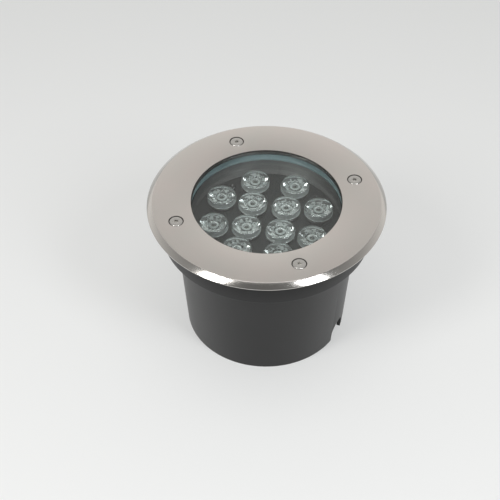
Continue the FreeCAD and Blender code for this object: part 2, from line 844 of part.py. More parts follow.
def lead(label, points, radius, bend):
    """A round lead along its path."""
    path = smooth_path(points, bend)
    section = Part.Wire(Part.Circle(points[0], points[1] - points[0], radius).toShape())
    piece = doc.addObject("Part::Feature", label)
    piece.Label = label
    piece.Shape = path.makePipeShell([section], True, False)
    expected = math.pi * radius ** 2 * path.Length
    if abs(piece.Shape.Volume - expected) > expected * LEAD_TOLERANCE:
        raise RuntimeError(f"{label}: its volume isn't its section times its length")
    piece.Placement = FreeCAD.Placement(Vector(), FreeCAD.Rotation(UP, fits.bay_turn))
    return keep(piece)


def board_leads():
    """Two leads from the driver's side, up through the grommet, to the board."""
    side = -sheet.driver_width / 2
    exit_level = fits.ceiling_level - sheet.lead_drop
    crest = fits.board_level + sheet.lead_rise
    back = -fits.grommet_circle
    solder = back - sheet.lead_reach
    for label, sign in (("lead_negative", -1), ("lead_positive", 1)):
        across = sign * sheet.lead_spread
        lead(label, [
            Vector(across, side, exit_level),
            Vector(across, back, exit_level),
            Vector(across, back, crest),
            Vector(across, solder, crest),
            Vector(across, solder, fits.board_level),
        ], sheet.lead_radius, sheet.lead_bend)


# ------------------------------------------------------------------ the driver

def driver_case():
    """Moulded case, open below, with an ear at each end. Its own zero is its
    back, which lies on the bay's ceiling."""
    body = new_body("driver_case")
    sketch = sketch_on(body, "case_outline", "XY_Plane")
    rectangle(sketch, "driver_length", "driver_width")
    padded(body, "block", sketch, "driver_height", down=True)
    sketch = sketch_on(body, "ear_outline", "XY_Plane")
    rectangle(sketch, "(driver_length + 2 * driver_ear)", "driver_ear_width")
    padded(body, "ears", sketch, "driver_ear_thickness", down=True)
    sketch = sketch_on(body, "inside_outline", "XY_Plane", "-driver_height")
    rectangle(sketch, "(driver_length - 2 * driver_wall)", "(driver_width - 2 * driver_wall)")
    pocketed(body, "inside", sketch, "driver_height - driver_wall", up=True)
    drilled_ring(body, "ear", "driver_length / 2 + driver_ear / 2", "m3_clearance", "2",
                 "driver_ear_thickness", "0")
    set_down(body, "ceiling_level", "bay_turn")
    return keep(body)


def box_piece(label, length, width, height, across, up, level):
    """A plain block of the driver bay, by its middle and its underside."""
    body = new_body(label)
    sketch = sketch_on(body, "outline", "XY_Plane")
    rectangle(sketch, length, width, across, up)
    padded(body, "block", sketch, height)
    set_down(body, level, "bay_turn")
    return body


def driver():
    """Driver case with its lid, circuit board and three large components."""
    driver_case()
    lid = "(ceiling_level - driver_height - driver_lid_thickness)"
    circuit = "(ceiling_level - driver_height)"
    mounted = f"({circuit} + circuit_thickness)"
    inside = "(2 * driver_wall + 2 * circuit_gap)"
    keep(box_piece("driver_lid", "driver_length", "driver_width",
                   "driver_lid_thickness", "0", "0", lid))
    keep(box_piece("driver_board", f"(driver_length - {inside})",
                   f"(driver_width - {inside})", "circuit_thickness", "0", "0", circuit))
    core = box_piece("driver_transformer", "transformer_length", "transformer_width",
                     "transformer_height", "0", "0", mounted)
    # the winding's window on both sides of the core
    for side, sign, onward in (("near", "", False), ("far", "-", True)):
        sketch = sketch_on(core, f"{side}_window", "XZ_Plane", f"{sign}transformer_width / 2")
        rectangle(sketch, "transformer_length / 2", "transformer_height / 2",
                  "0", "transformer_height / 2")
        pocketed(core, f"{side}_recess", sketch, "winding_depth", up=onward)
    keep(core)
    body = new_body("driver_capacitor")
    turned(body, "can", [
        ("0", "0"),
        ("capacitor_radius", "0"),
        ("capacitor_radius", "capacitor_length - head_round"),
        ("capacitor_radius - head_round", "capacitor_length"),
        ("0", "capacitor_length"),
    ])
    body.setExpression("Placement", expression(
        f"placement(vector(0; 0; {mounted}); rotation(vector(0; 0; 1); bay_turn))"
        " * placement(vector(driver_length / 3; 0; 0); rotation(vector(0; 0; 1); 0))"))
    keep(body)
    choke = doc.addObject("Part::Torus", "driver_choke")
    choke.Label = "driver_choke"
    choke.setExpression("Radius1", expression("choke_radius"))
    choke.setExpression("Radius2", expression("choke_wire"))
    choke.setExpression("Placement", expression(
        f"placement(vector(0; 0; {mounted} + choke_wire); rotation(vector(0; 0; 1); bay_turn))"
        " * placement(vector(-driver_length / 3; 0; 0); rotation(vector(0; 0; 1); 0))"))
    keep(choke)


def terminal_block():
    """Two-pole block on the bay's ceiling, beside the driver."""
    middle = "(driver_width / 2 + block_gap + block_width / 2)"
    block = box_piece("terminal_block", "block_length", "block_width", "block_height",
                      "0", middle, "ceiling_level - block_height")
    for name, sign in (("left", "-"), ("right", "")):
        pole = f"{sign}pole_pitch / 2"
        sketch = sketch_on(block, f"{name}_wire_spot", "XZ_Plane",
                           "-(driver_width / 2 + block_gap)")
        circle(sketch, "pole_radius", pole, "block_height - pole_drop")
        pocketed(block, f"{name}_wire_hole", sketch, "pole_depth")
        sketch = sketch_on(block, f"{name}_screw_spot", "XY_Plane")
        circle(sketch, "pole_screw_radius + thread_gap", pole, middle)
        pocketed(block, f"{name}_screw_hole", sketch, "pole_screw_height", up=True)
    keep(block)
    screw = new_body("pole_screw")
    turned(screw, "blank", [("0", "0"), ("pole_screw_radius", "0"),
                            ("pole_screw_radius", "pole_screw_height"),
                            ("0", "pole_screw_height")])
    sketch = sketch_on(screw, "slot_outline", "XY_Plane")
    rectangle(sketch, "pole_screw_radius * 3", "pole_slot_width")
    pocketed(screw, "slot", sketch, "pole_slot_depth", up=True)
    spin = FreeCAD.Placement(Vector(), FreeCAD.Rotation(UP, fits.bay_turn))
    level = fits.ceiling_level - sheet.block_height
    places = []
    for sign in (-1, 1):
        spot = Vector(sign * sheet.pole_pitch / 2, size(middle), level)
        places.append(spin.multiply(FreeCAD.Placement(spot, FreeCAD.Rotation())))
    keep_copies("terminal_screws", screw.Shape, places)


def supply_leads():
    """Two short leads from the driver into the terminal block."""
    start = sheet.driver_width / 2
    end = start + sheet.block_gap + sheet.pole_depth - sheet.lead_radius
    level = fits.ceiling_level - sheet.pole_drop
    for label, sign in (("lead_live", -1), ("lead_neutral", 1)):
        across = sign * sheet.pole_pitch / 2
        lead(label, [Vector(across, start, level), Vector(across, end, level)],
             sheet.lead_radius, sheet.lead_bend)


# ------------------------------------------------------- rear cover and gland

def rear_cover():
    """Lid of the driver bay, with a groove for its sealing ring."""
    body = new_body("rear_cover")
    top = "rear_cover_thickness"
    groove = "seal_radius + seal_groove_gap"
    turned(body, "lid", [
        ("gland_thread_radius + nut_gap", "0"),
        ("rear_radius - tip_bevel", "0"),
        ("rear_radius", "tip_bevel"),
        ("rear_radius", top),
        (f"seal_circle + {groove}", top),
        (f"seal_circle + {groove}", f"{top} - seal_groove_depth"),
        (f"seal_circle - ({groove})", f"{top} - seal_groove_depth"),
        (f"seal_circle - ({groove})", top),
        ("gland_thread_radius + nut_gap", top),
    ])
    drilled_ring(body, "screw", "rear_screw_circle", "m4_clearance", "rear_screw_count", top, top)
    set_down(body, "cover_level", "lamp_turn")
    return keep(body)


def rear_cover_seal():
    """Round sealing ring in the cover's groove."""
    ring = doc.addObject("Part::Torus", "rear_cover_seal")
    ring.Label = "rear_cover_seal"
    ring.setExpression("Radius1", expression("seal_circle"))
    ring.setExpression("Radius2", expression("seal_radius"))
    set_down(ring, "rear_level - seal_groove_depth / 2")
    return keep(ring)


def gland_body():
    """Threaded body of the cable gland. Its own zero is the top of its hexagon,
    which presses the washer on the rear cover."""
    body = new_body("gland_body")
    reach = "gland_washer_thickness + rear_cover_thickness + locknut_height + gland_thread_spare"
    foot = "-(gland_hex_height + gland_foot_length)"
    seat = f"{foot} + gland_seal_length - gland_seal_proud"
    turned(body, "barrel", [
        ("gland_bore", seat),
        ("gland_seat_radius", seat),
        ("gland_seat_radius", foot),
        ("gland_foot_radius", foot),
        ("gland_foot_radius", "0"),
        ("gland_thread_radius", "0"),
        ("gland_thread_radius", reach),
        ("gland_bore", reach),
    ])
    sketch = sketch_on(body, "hexagon_outline", "XY_Plane")
    hexagon(sketch, "gland_hex_across")
    circle(sketch, "(gland_bore + gland_seat_radius) / 2")
    padded(body, "hexagon", sketch, "gland_hex_height", down=True)
    set_down(body, "cover_level - gland_washer_thickness", "lamp_turn")
    return keep(body)


def gland_washer():
    """Flat sealing washer between gland and cover."""
    body = new_body("gland_washer")
    bore = "gland_thread_radius + nut_gap"
    turned(body, "disc", [
        (bore, "0"),
        (f"{bore} + gland_washer_width", "0"),
        (f"{bore} + gland_washer_width", "gland_washer_thickness"),
        (bore, "gland_washer_thickness"),
    ])
    set_down(body, "cover_level - gland_washer_thickness")
    return keep(body)


def gland_seal():
    """Rubber sleeve that the nut squeezes round the cable."""
    body = new_body("gland_seal")
    outside = "gland_seat_radius - gland_seal_gap"
    turned(body, "sleeve", [
        ("cable_radius", "0"),
        (outside, "0"),
        (outside, "gland_seal_length"),
        ("cable_radius", "gland_seal_length"),
    ])
    set_down(body, "seal_level")
    return keep(body)


def gland_nut():
    """Domed nut of the gland, its mouth down."""
    body = new_body("gland_nut")
    length = "gland_drop - gland_washer_thickness - gland_hex_height - nut_clearance"
    shoulder = "seal_level - cable_room"
    bore = "gland_foot_radius + nut_gap"
    turned(body, "dome", [
        ("nut_mouth", "0"),
        ("nut_end_radius", "0"),
        (f"{bore} + nut_wall", f"{length} - nut_hex_height"),
        (f"{bore} + nut_wall", length),
        (bore, length),
        (bore, shoulder),
        ("nut_mouth", shoulder),
    ])
    sketch = sketch_on(body, "hexagon_outline", "XY_Plane", length)
    hexagon(sketch, "nut_hex_across")
    circle(sketch, f"{bore} + nut_wall / 2")
    padded(body, "hexagon", sketch, "nut_hex_height", down=True)
    set_down(body, "cable_room", "lamp_turn")
    return keep(body)


def gland_locknut():
    """Thin hexagon nut inside the bay."""
    body = new_body("gland_locknut")
    sketch = sketch_on(body, "hexagon_outline", "XY_Plane")
    hexagon(sketch, "gland_hex_across")
    circle(sketch, "gland_thread_radius + thread_gap")
    padded(body, "nut", sketch, "locknut_height")
    set_down(body, "rear_level", "lamp_turn")
    return keep(body)


def fasteners():
    """Each group of identical screws, as separate solids in one node."""
    keep_copies("face_screws", sunk_screw().Shape,
                around(fits.face_screw_circle, fits.head_level,
                       sheet.face_screw_count, sheet.ring_turn))
    keep_copies("rear_cover_screws",
                pan_screw("rear_screw", "m4_radius", "m4_head_radius", "m4_head_height",
                          "m4_socket", "rear_screw_length").Shape,
                around(fits.rear_screw_circle, fits.cover_level,
                       sheet.rear_screw_count, sheet.lamp_turn))
    keep_copies("board_screws",
                pan_screw("board_screw", "m3_radius", "m3_head_radius", "m3_head_height",
                          "m3_socket", "board_screw_length", tip_up=False).Shape,
                around(fits.board_screw_circle, fits.board_level,
                       sheet.board_screw_count, sheet.lamp_turn))
    keep_copies("driver_screws",
                pan_screw("ear_screw", "m3_radius", "m3_head_radius", "m3_head_height",
                          "m3_socket", "driver_screw_length").Shape,
                around(size("driver_length / 2 + driver_ear / 2"),
                       fits.ceiling_level - sheet.driver_ear_thickness, 2, fits.bay_turn))


mounting_sleeve()
face_ring()
cover_glass()
glass_gasket()
lamp_housing()
drilled_disc("thermal_pad", "board_radius - pad_inset", "pad_thickness", "floor_level")
drilled_disc("led_board", "board_radius", "board_thickness", "pad_level")
optics()
wire_grommet()
board_leads()
driver()
terminal_block()
supply_leads()
rear_cover()
rear_cover_seal()
gland_body()
gland_washer()
gland_seal()
gland_nut()
gland_locknut()
fasteners()
doc.recompute()

# ------------------------------------------------------------ check and write

for item in doc.Objects:
    if "Invalid" in item.State or "Error" in item.State:
        raise RuntimeError(f"{item.Name} failed: {item.State}")

os.makedirs("parts", exist_ok=True)
for piece in PARTS:
    shape = piece.Shape
    if shape.isNull() or not shape.isValid():
        raise RuntimeError(f"{piece.Label} has no valid shape")
    shape.exportStep(os.path.join("parts", piece.Label + ".step"))
print(len(PARTS), "parts written")
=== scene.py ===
# %% [markdown]
# # An in ground well light
# The real object is a light that is sunk in paving: a black moulded sleeve
# stays in the ground, and a sealed lamp unit with a stainless face ring, a thick
# window and twelve lenses drops into it. The CAD model already has every piece
# at its true size. This lesson dresses it: it rebuilds the pieces that show with
# soft edges and smooth curves, and gives each one the finish of the real thing.

# %% Load the CAD model as a fixed frame
import json
import math
import random

import bpy
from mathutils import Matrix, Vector

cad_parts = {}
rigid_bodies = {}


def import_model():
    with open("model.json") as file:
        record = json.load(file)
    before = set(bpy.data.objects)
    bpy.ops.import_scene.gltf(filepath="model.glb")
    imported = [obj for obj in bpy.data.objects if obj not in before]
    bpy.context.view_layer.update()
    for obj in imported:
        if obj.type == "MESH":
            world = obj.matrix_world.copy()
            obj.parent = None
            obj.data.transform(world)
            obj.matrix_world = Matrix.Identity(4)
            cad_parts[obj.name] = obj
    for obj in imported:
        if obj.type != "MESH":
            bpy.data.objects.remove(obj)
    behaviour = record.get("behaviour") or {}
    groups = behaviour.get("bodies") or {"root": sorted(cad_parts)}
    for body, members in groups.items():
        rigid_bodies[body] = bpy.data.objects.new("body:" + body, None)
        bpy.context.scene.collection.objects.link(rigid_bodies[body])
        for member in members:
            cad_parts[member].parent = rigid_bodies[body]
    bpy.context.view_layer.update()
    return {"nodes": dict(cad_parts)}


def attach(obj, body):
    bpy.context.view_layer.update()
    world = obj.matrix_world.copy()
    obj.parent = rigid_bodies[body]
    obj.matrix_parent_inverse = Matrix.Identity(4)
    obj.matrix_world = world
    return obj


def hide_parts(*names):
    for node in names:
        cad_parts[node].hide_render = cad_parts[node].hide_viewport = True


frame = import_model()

# %% [markdown]
# ## Camera
# The photograph looks down at the light from about 45 degrees with a long lens.
# A long lens is a narrow view from far away, so the ring stays nearly a true
# ellipse. The camera's place was worked out from the outlines of ring and foot.

# %% Set the camera
CAMERA_PLACE = (-0.01108, -0.71888, 0.77389)
CAMERA_TILT = math.radians(45.16)
CAMERA_LENS = 106.0

camera_data = bpy.data.cameras.new("photo_camera")
camera_data.lens = CAMERA_LENS
camera_data.sensor_width = 36.0
camera = bpy.data.objects.new("photo_camera", camera_data)
camera.location = CAMERA_PLACE
camera.rotation_euler = (CAMERA_TILT, 0.0, 0.0)
bpy.context.scene.collection.objects.link(camera)
bpy.context.scene.camera = camera
bpy.context.scene.view_settings.view_transform = "Standard"
print("camera", tuple(camera.location), "lens", camera_data.lens)

# %% [markdown]
# ## Node helpers
# A finish is a small network of shader nodes. These three helpers add a node,
# feed a socket from a number or another node, and do arithmetic on values, so
# that each finish below stays short enough to read.

# %% Node helpers
def put(tree, kind, **values):
    """Add a node; each value goes to the input or the option of that name."""
    made = tree.nodes.new(kind)
    for name, value in values.items():
        socket = made.inputs.get(name.replace("_", " "))
        if socket is None:
            setattr(made, name, value)
        else:
            feed(tree, socket, value)
    return made


def feed(tree, socket, value):
    """Give a socket a number, a colour, or another node's output."""
    if isinstance(value, bpy.types.NodeSocket):
        tree.links.new(value, socket)
    else:
        socket.default_value = value


def calc(tree, operation, *numbers):
    """One step of arithmetic; it returns the output socket."""
    made = tree.nodes.new("ShaderNodeMath")
    made.operation = operation
    for socket, number in zip(made.inputs, numbers):
        feed(tree, socket, number)
    return made.outputs[0]


def span(tree, value, low, high):
    """Stretch a value that runs from 0 to 1 so that it runs from low to high."""
    made = put(tree, "ShaderNodeMapRange", Value=value, To_Min=low, To_Max=high)
    return made.outputs["Result"]


def blend_colours(tree, factor, first, second):
    """A colour between two others."""
    made = put(tree, "ShaderNodeMix", data_type="RGBA")
    feed(tree, made.inputs["Factor"], factor)
    feed(tree, made.inputs[6], first)
    feed(tree, made.inputs[7], second)
    return made.outputs[2]


# %% [markdown]
# ## Floor and light
# The light stands on a pale sheet. Two soft boxes stand in front of it, left and
# right: the polished bevel shows both as white patches, and every lens has two
# small glints from them. A wide box overhead is dim, because the brushed top
# mirrors it. The room behind is pale and the room above the camera is dark, which
# is why the brushed top looks light and the front bevel dark.

# %% Make the floor
FLOOR_COLOUR = (0.865, 0.875, 0.875, 1.0)
FLOOR_CLOUD = 0.97
FLOOR_SIZE = 12.0

bpy.ops.object.select_all(action="DESELECT")
bpy.ops.mesh.primitive_plane_add(size=FLOOR_SIZE, location=(0, 0, 0))
floor = bpy.context.object
floor.name = "pale_floor"
floor_paint = bpy.data.materials.new("pale_sheet")
floor_paint.use_nodes = True
sheet = floor_paint.node_tree
floor_shader = sheet.nodes["Principled BSDF"]
floor_place = put(sheet, "ShaderNodeTexCoord").outputs["Object"]
floor_noise = put(sheet, "ShaderNodeTexNoise", Vector=floor_place, Scale=3.0, Detail=2.0)
floor_tone = blend_colours(sheet, floor_noise.outputs["Fac"], FLOOR_COLOUR,
                           tuple(FLOOR_CLOUD * part for part in FLOOR_COLOUR))
feed(sheet, floor_shader.inputs["Base Color"], floor_tone)
floor_shader.inputs["Roughness"].default_value = 0.9
floor_shader.inputs["Specular IOR Level"].default_value = 0.1
floor.data.materials.append(floor_paint)

# %% Let the sheet glow a little where it is seen
GLOW_SHARE = 0.50
GLOW_FRONT, GLOW_BACK = (0.86, 0.87, 0.87, 1.0), (0.66, 0.67, 0.665, 1.0)
GLOW_FRONT_Y, GLOW_BACK_Y = -0.22, 0.45

depth = put(sheet, "ShaderNodeSeparateXYZ", Vector=floor_place).outputs["Y"]
backwards = put(sheet, "ShaderNodeMapRange", Value=depth, From_Min=GLOW_FRONT_Y,
                From_Max=GLOW_BACK_Y)
glow = put(sheet, "ShaderNodeEmission",
           Color=blend_colours(sheet, backwards.outputs["Result"], GLOW_FRONT, GLOW_BACK))
seen_by = put(sheet, "ShaderNodeLightPath").outputs
seen = calc(sheet, "MAXIMUM", seen_by["Is Camera Ray"],
            calc(sheet, "MAXIMUM", seen_by["Is Glossy Ray"], seen_by["Is Transmission Ray"]))
lifted = put(sheet, "ShaderNodeMixShader")
feed(sheet, lifted.inputs[0], calc(sheet, "MULTIPLY", seen, GLOW_SHARE))
feed(sheet, lifted.inputs[1], floor_shader.outputs["BSDF"])
feed(sheet, lifted.inputs[2], glow.outputs["Emission"])
feed(sheet, sheet.nodes["Material Output"].inputs["Surface"], lifted.outputs["Shader"])
print("floor", floor.name, "glows by", GLOW_SHARE)

# %% Make the soft boxes
TARGET = Vector((0.0, 0.0, 0.10))
BOX_DISTANCE, BOX_SIZE = 1.25, (0.34, 0.56)
CEILING_DISTANCE, CEILING_SIZE = 1.45, (1.10, 1.10)


def soft_box(name, azimuth, elevation, distance, size, power, colour):
    """A rectangular lamp that faces the light, placed as seen from the camera's side."""
    turn, rise = math.radians(azimuth), math.radians(elevation)
    outward = Vector((math.sin(turn) * math.cos(rise), -math.cos(turn) * math.cos(rise),
                      math.sin(rise)))
    data = bpy.data.lights.new(name, "AREA")
    data.shape = "RECTANGLE"
    data.size, data.size_y = size
    data.energy = power
    data.color = colour
    lamp = bpy.data.objects.new(name, data)
    lamp.location = TARGET + outward * distance
    lamp.rotation_euler = outward.to_track_quat("Z", "Y").to_euler()
    bpy.context.scene.collection.objects.link(lamp)
    print(name, power, "W from", distance, "m away")


soft_box("soft_box_left", -51.0, 42.0, BOX_DISTANCE, BOX_SIZE, 6.6, (1.0, 0.985, 0.96))
soft_box("soft_box_right", 44.0, 42.0, BOX_DISTANCE, BOX_SIZE, 6.0, (0.98, 0.99, 1.0))
soft_box("ceiling_box", 0.0, 84.0, CEILING_DISTANCE, CEILING_SIZE, 4.6, (1.0, 0.99, 0.975))

# %% Shade the room
ROOM_BACK = (0.86, 0.84, 0.81, 1.0)
ROOM_FRONT = (0.16, 0.16, 0.155, 1.0)
DIMMEST, PALEST = -1.05, 0.50

world = bpy.data.worlds.new("pale_room")
bpy.context.scene.world = world
world.use_nodes = True
room = world.node_tree
direction = put(room, "ShaderNodeTexCoord").outputs["Generated"]
parts = put(room, "ShaderNodeSeparateXYZ", Vector=direction).outputs
forward = calc(room, "SUBTRACT", parts["Y"], parts["Z"])
backness = put(room, "ShaderNodeMapRange", Value=forward, From_Min=DIMMEST,
               From_Max=PALEST).outputs["Result"]
room_colour = blend_colours(room, backness, ROOM_FRONT, ROOM_BACK)
feed(room, room.nodes["Background"].inputs["Color"], room_colour)
room.nodes["Background"].inputs["Strength"].default_value = 1.0
print("room from", ROOM_FRONT[:3], "to", ROOM_BACK[:3])

# %% [markdown]
# ## Shared surface effects
# Several finishes need the same kind of unevenness. A node group is built once
# and dropped into each finish with its own values: concentric marks of a lathe
# or a rotary brush, the fine grain of a moulding or a casting, and the wear that
# brightens an edge. The wear compares a rounded normal with the true one.

# %% Start a node group
def new_group(name, inputs, outputs):
    """A shader group with named number sockets."""
    group = bpy.data.node_groups.new(name, "ShaderNodeTree")
    for socket, value in inputs.items():
        made = group.interface.new_socket(name=socket, in_out="INPUT",
                                          socket_type="NodeSocketFloat")
        made.default_value = value
    for socket in outputs:
        group.interface.new_socket(name=socket, in_out="OUTPUT", socket_type="NodeSocketFloat")
    return group, group.nodes.new("NodeGroupInput"), group.nodes.new("NodeGroupOutput")


# %% Group: turned marks
def turned_marks():
    """Rings round the light's axis, broken up along their length."""
    group, given, result = new_group("turned marks", {"Rings": 900.0, "Breaks": 6.0},
                                     ["Marks", "Cloud"])
    place = put(group, "ShaderNodeTexCoord").outputs["Object"]
    parts = put(group, "ShaderNodeSeparateXYZ", Vector=place)
    across, along = parts.outputs["X"], parts.outputs["Y"]
    radius = calc(group, "SQRT", calc(group, "ADD", calc(group, "MULTIPLY", across, across),
                                      calc(group, "MULTIPLY", along, along)))
    rings = calc(group, "MULTIPLY", radius, given.outputs["Rings"])
    level = calc(group, "MULTIPLY", parts.outputs["Z"], given.outputs["Rings"])
    unit_x = calc(group, "MULTIPLY", calc(group, "DIVIDE", across, radius),
                  given.outputs["Breaks"])
    unit_y = calc(group, "MULTIPLY", calc(group, "DIVIDE", along, radius),
                  given.outputs["Breaks"])
    spot = put(group, "ShaderNodeCombineXYZ", X=calc(group, "ADD", rings, level),
               Y=unit_x, Z=unit_y)
    marks = put(group, "ShaderNodeTexNoise", Vector=spot.outputs[0], Scale=1.0, Detail=3.0)
    cloud = put(group, "ShaderNodeTexNoise", Vector=place, Scale=45.0, Detail=2.0)
    feed(group, result.inputs["Marks"], marks.outputs["Fac"])
    feed(group, result.inputs["Cloud"], cloud.outputs["Fac"])
    return group


# %% Group: surface grain
def surface_grain():
    """Fine grain with broad, soft changes of tone."""
    group, given, result = new_group("surface grain", {"Fineness": 2500.0, "Patches": 40.0},
                                     ["Grain", "Patch"])
    place = put(group, "ShaderNodeTexCoord").outputs["Object"]
    grain = put(group, "ShaderNodeTexNoise", Vector=place, Scale=given.outputs["Fineness"],
                Detail=4.0, Roughness=0.6)
    patch = put(group, "ShaderNodeTexNoise", Vector=place, Scale=given.outputs["Patches"],
                Detail=3.0)
    feed(group, result.inputs["Grain"], grain.outputs["Fac"])
    feed(group, result.inputs["Patch"], patch.outputs["Fac"])
    return group


# %% Group: worn edges
WEAR_GAIN = 9.0
WEAR_STARTS, WEAR_FULL = 0.35, 0.65


def worn_edges():
    """A mask that is 1 on sharp edges and 0 on open faces, broken up along the edge."""
    group, given, result = new_group("worn edges", {"Width": 0.0005, "Breaks": 700.0},
                                     ["Edge"])
    rounded = put(group, "ShaderNodeBevel", samples=4, Radius=given.outputs["Width"])
    likeness = put(group, "ShaderNodeVectorMath", operation="DOT_PRODUCT")
    feed(group, likeness.inputs[0], rounded.outputs["Normal"])
    feed(group, likeness.inputs[1], put(group, "ShaderNodeNewGeometry").outputs["Normal"])
    sharp = calc(group, "MULTIPLY", calc(group, "SUBTRACT", 1.0, likeness.outputs["Value"]),
                 WEAR_GAIN)
    place = put(group, "ShaderNodeTexCoord").outputs["Object"]
    breaks = put(group, "ShaderNodeTexNoise", Vector=place, Scale=given.outputs["Breaks"],
                 Detail=2.0)
    kept = put(group, "ShaderNodeMapRange", Value=breaks.outputs["Fac"],
               From_Min=WEAR_STARTS, From_Max=WEAR_FULL)
    feed(group, result.inputs["Edge"],
         calc(group, "MINIMUM", calc(group, "MULTIPLY", sharp, kept.outputs["Result"]), 1.0))
    return group


MARKS = turned_marks()
GRAIN = surface_grain()
EDGES = worn_edges()
print("groups", MARKS.name, GRAIN.name, EDGES.name)

# %% [markdown]
# ## Finishes
# Every opaque finish has the same bones: a base colour that drifts between two
# near tones, a roughness that drifts with it, and a small bump. What changes is
# which group drives it and how strong it is.

# %% Opaque finishes
def opaque(name, tones, roughness, metallic=0.0, group=None, settings=None, bump=0.1,
           depth=0.00005, specular=0.5, worn=None):
    """A finish between two tones and two roughnesses; worn is its tone on its edges."""
    material = bpy.data.materials.new(name)
    material.use_nodes = True
    tree = material.node_tree
    shader = tree.nodes["Principled BSDF"]
    source = put(tree, "ShaderNodeGroup", node_tree=group or GRAIN)
    for socket, value in (settings or {}).items():
        source.inputs[socket].default_value = value
    fine, broad = source.outputs[0], source.outputs[1]
    colour = blend_colours(tree, broad, (*tones[0], 1.0), (*tones[1], 1.0))
    if worn:
        edge = put(tree, "ShaderNodeGroup", node_tree=EDGES)
        colour = blend_colours(tree, edge.outputs["Edge"], colour, (*worn, 1.0))
    feed(tree, shader.inputs["Base Color"], colour)
    feed(tree, shader.inputs["Roughness"], span(tree, fine, *roughness))
    relief = put(tree, "ShaderNodeBump", Strength=bump, Distance=depth, Height=fine)
    feed(tree, shader.inputs["Normal"], relief.outputs["Normal"])
    shader.inputs["Metallic"].default_value = metallic
    shader.inputs["Specular IOR Level"].default_value = specular
    return material


LATHE = {"Rings": 2600.0, "Breaks": 5.0}
SATIN_STEEL = opaque("satin_steel", ((0.660, 0.650, 0.620), (0.720, 0.660, 0.635)),
                     (0.26, 0.34), 1.0, MARKS, LATHE, 0.05, 0.00002)
# Painted shade: the bore and the countersink walls get a dark steel colour for the shade that
# falls in them.
BORE_STEEL_PAINTED_SHADE = opaque("steel_bore_painted_shade", ((0.20, 0.20, 0.20), (0.26, 0.26, 0.255)),
                    (0.40, 0.52), 1.0, MARKS, LATHE, 0.12, 0.00002)
GAP_STEEL_PAINTED_SHADE = opaque("steel_gap_painted_shade", ((0.07, 0.068, 0.065), (0.11, 0.105, 0.10)),
                   (0.55, 0.70), 1.0)
POLISHED_STEEL = opaque("polished_steel", ((0.60, 0.585, 0.56), (0.63, 0.61, 0.59)),
                        (0.11, 0.19), 1.0, MARKS, {"Rings": 4000.0, "Breaks": 3.0}, 0.04,
                        0.00001)
SCREW_STEEL = opaque("screw_steel", ((0.55, 0.54, 0.52), (0.60, 0.59, 0.57)), (0.22, 0.34),
                     1.0, GRAIN, {"Fineness": 3000.0, "Patches": 300.0}, 0.10,
                     worn=(0.72, 0.71, 0.69))
SLEEVE_PLASTIC = opaque("sleeve_plastic", ((0.010, 0.010, 0.0105), (0.014, 0.014, 0.0145)),
                        (0.30, 0.40), 0.0, GRAIN, {"Fineness": 1800.0, "Patches": 30.0}, 0.10,
                        specular=0.32, worn=(0.045, 0.045, 0.045))
CAST_COATING = opaque("cast_coating", ((0.022, 0.023, 0.023), (0.030, 0.031, 0.031)),
                      (0.42, 0.58), 0.0, GRAIN, {"Fineness": 2200.0, "Patches": 60.0}, 0.18,
                      worn=(0.085, 0.085, 0.085))
BOARD_MASK = opaque("board_mask", ((0.008, 0.0095, 0.0095), (0.012, 0.0135, 0.0135)),
                    (0.40, 0.52), 0.0, GRAIN, {"Fineness": 2000.0, "Patches": 50.0}, 0.08)
HOLDER_PLASTIC = opaque("holder_plastic", ((0.018, 0.019, 0.019), (0.026, 0.027, 0.027)),
                        (0.24, 0.34), 0.0, GRAIN, {"Fineness": 2200.0, "Patches": 120.0}, 0.06)
PALE_SILICONE = opaque("pale_silicone", ((0.23, 0.31, 0.33), (0.29, 0.36, 0.38)),
                       (0.40, 0.52), 0.0, GRAIN, {"Fineness": 1500.0, "Patches": 60.0}, 0.06)
DARK_RUBBER = opaque("dark_rubber", ((0.020, 0.020, 0.020), (0.030, 0.030, 0.030)),
                     (0.60, 0.75), 0.0, GRAIN, {"Fineness": 1800.0, "Patches": 90.0}, 0.15)
HEAT_PAD = opaque("heat_pad", ((0.30, 0.32, 0.36), (0.36, 0.38, 0.42)), (0.70, 0.85))
NYLON = opaque("gland_nylon", ((0.022, 0.022, 0.024), (0.030, 0.030, 0.032)), (0.36, 0.46),
               0.0, GRAIN, {"Fineness": 1600.0, "Patches": 80.0}, 0.10)
DRIVER_PLASTIC = opaque("driver_plastic", ((0.58, 0.58, 0.56), (0.64, 0.64, 0.62)),
                        (0.38, 0.50))
LAMINATE = opaque("circuit_laminate", ((0.03, 0.17, 0.08), (0.045, 0.22, 0.10)), (0.26, 0.36))
FERRITE = opaque("ferrite", ((0.07, 0.07, 0.075), (0.10, 0.10, 0.10)), (0.55, 0.70))
CAN = opaque("capacitor_can", ((0.08, 0.10, 0.20), (0.11, 0.13, 0.24)), (0.25, 0.35))
BLOCK_PLASTIC = opaque("terminal_plastic", ((0.76, 0.76, 0.72), (0.82, 0.82, 0.78)),
                       (0.22, 0.32))
BLACK_STEEL = opaque("black_steel", ((0.05, 0.05, 0.05), (0.08, 0.08, 0.08)), (0.40, 0.50), 1.0)
BRASS = opaque("terminal_brass", ((0.70, 0.53, 0.24), (0.76, 0.58, 0.28)), (0.20, 0.32), 1.0)
EMITTER = opaque("emitter_phosphor", ((0.055, 0.055, 0.045), (0.08, 0.078, 0.062)),
                 (0.12, 0.20))
RED = opaque("red_insulation", ((0.46, 0.025, 0.025), (0.54, 0.035, 0.035)), (0.35, 0.45))
BLACK = opaque("black_insulation", ((0.018, 0.018, 0.018), (0.026, 0.026, 0.026)),
               (0.35, 0.45))
BROWN = opaque("brown_insulation", ((0.18, 0.07, 0.025), (0.22, 0.09, 0.035)), (0.35, 0.45))
BLUE = opaque("blue_insulation", ((0.025, 0.12, 0.40), (0.035, 0.15, 0.48)), (0.35, 0.45))
print("opaque finishes", len(bpy.data.materials))

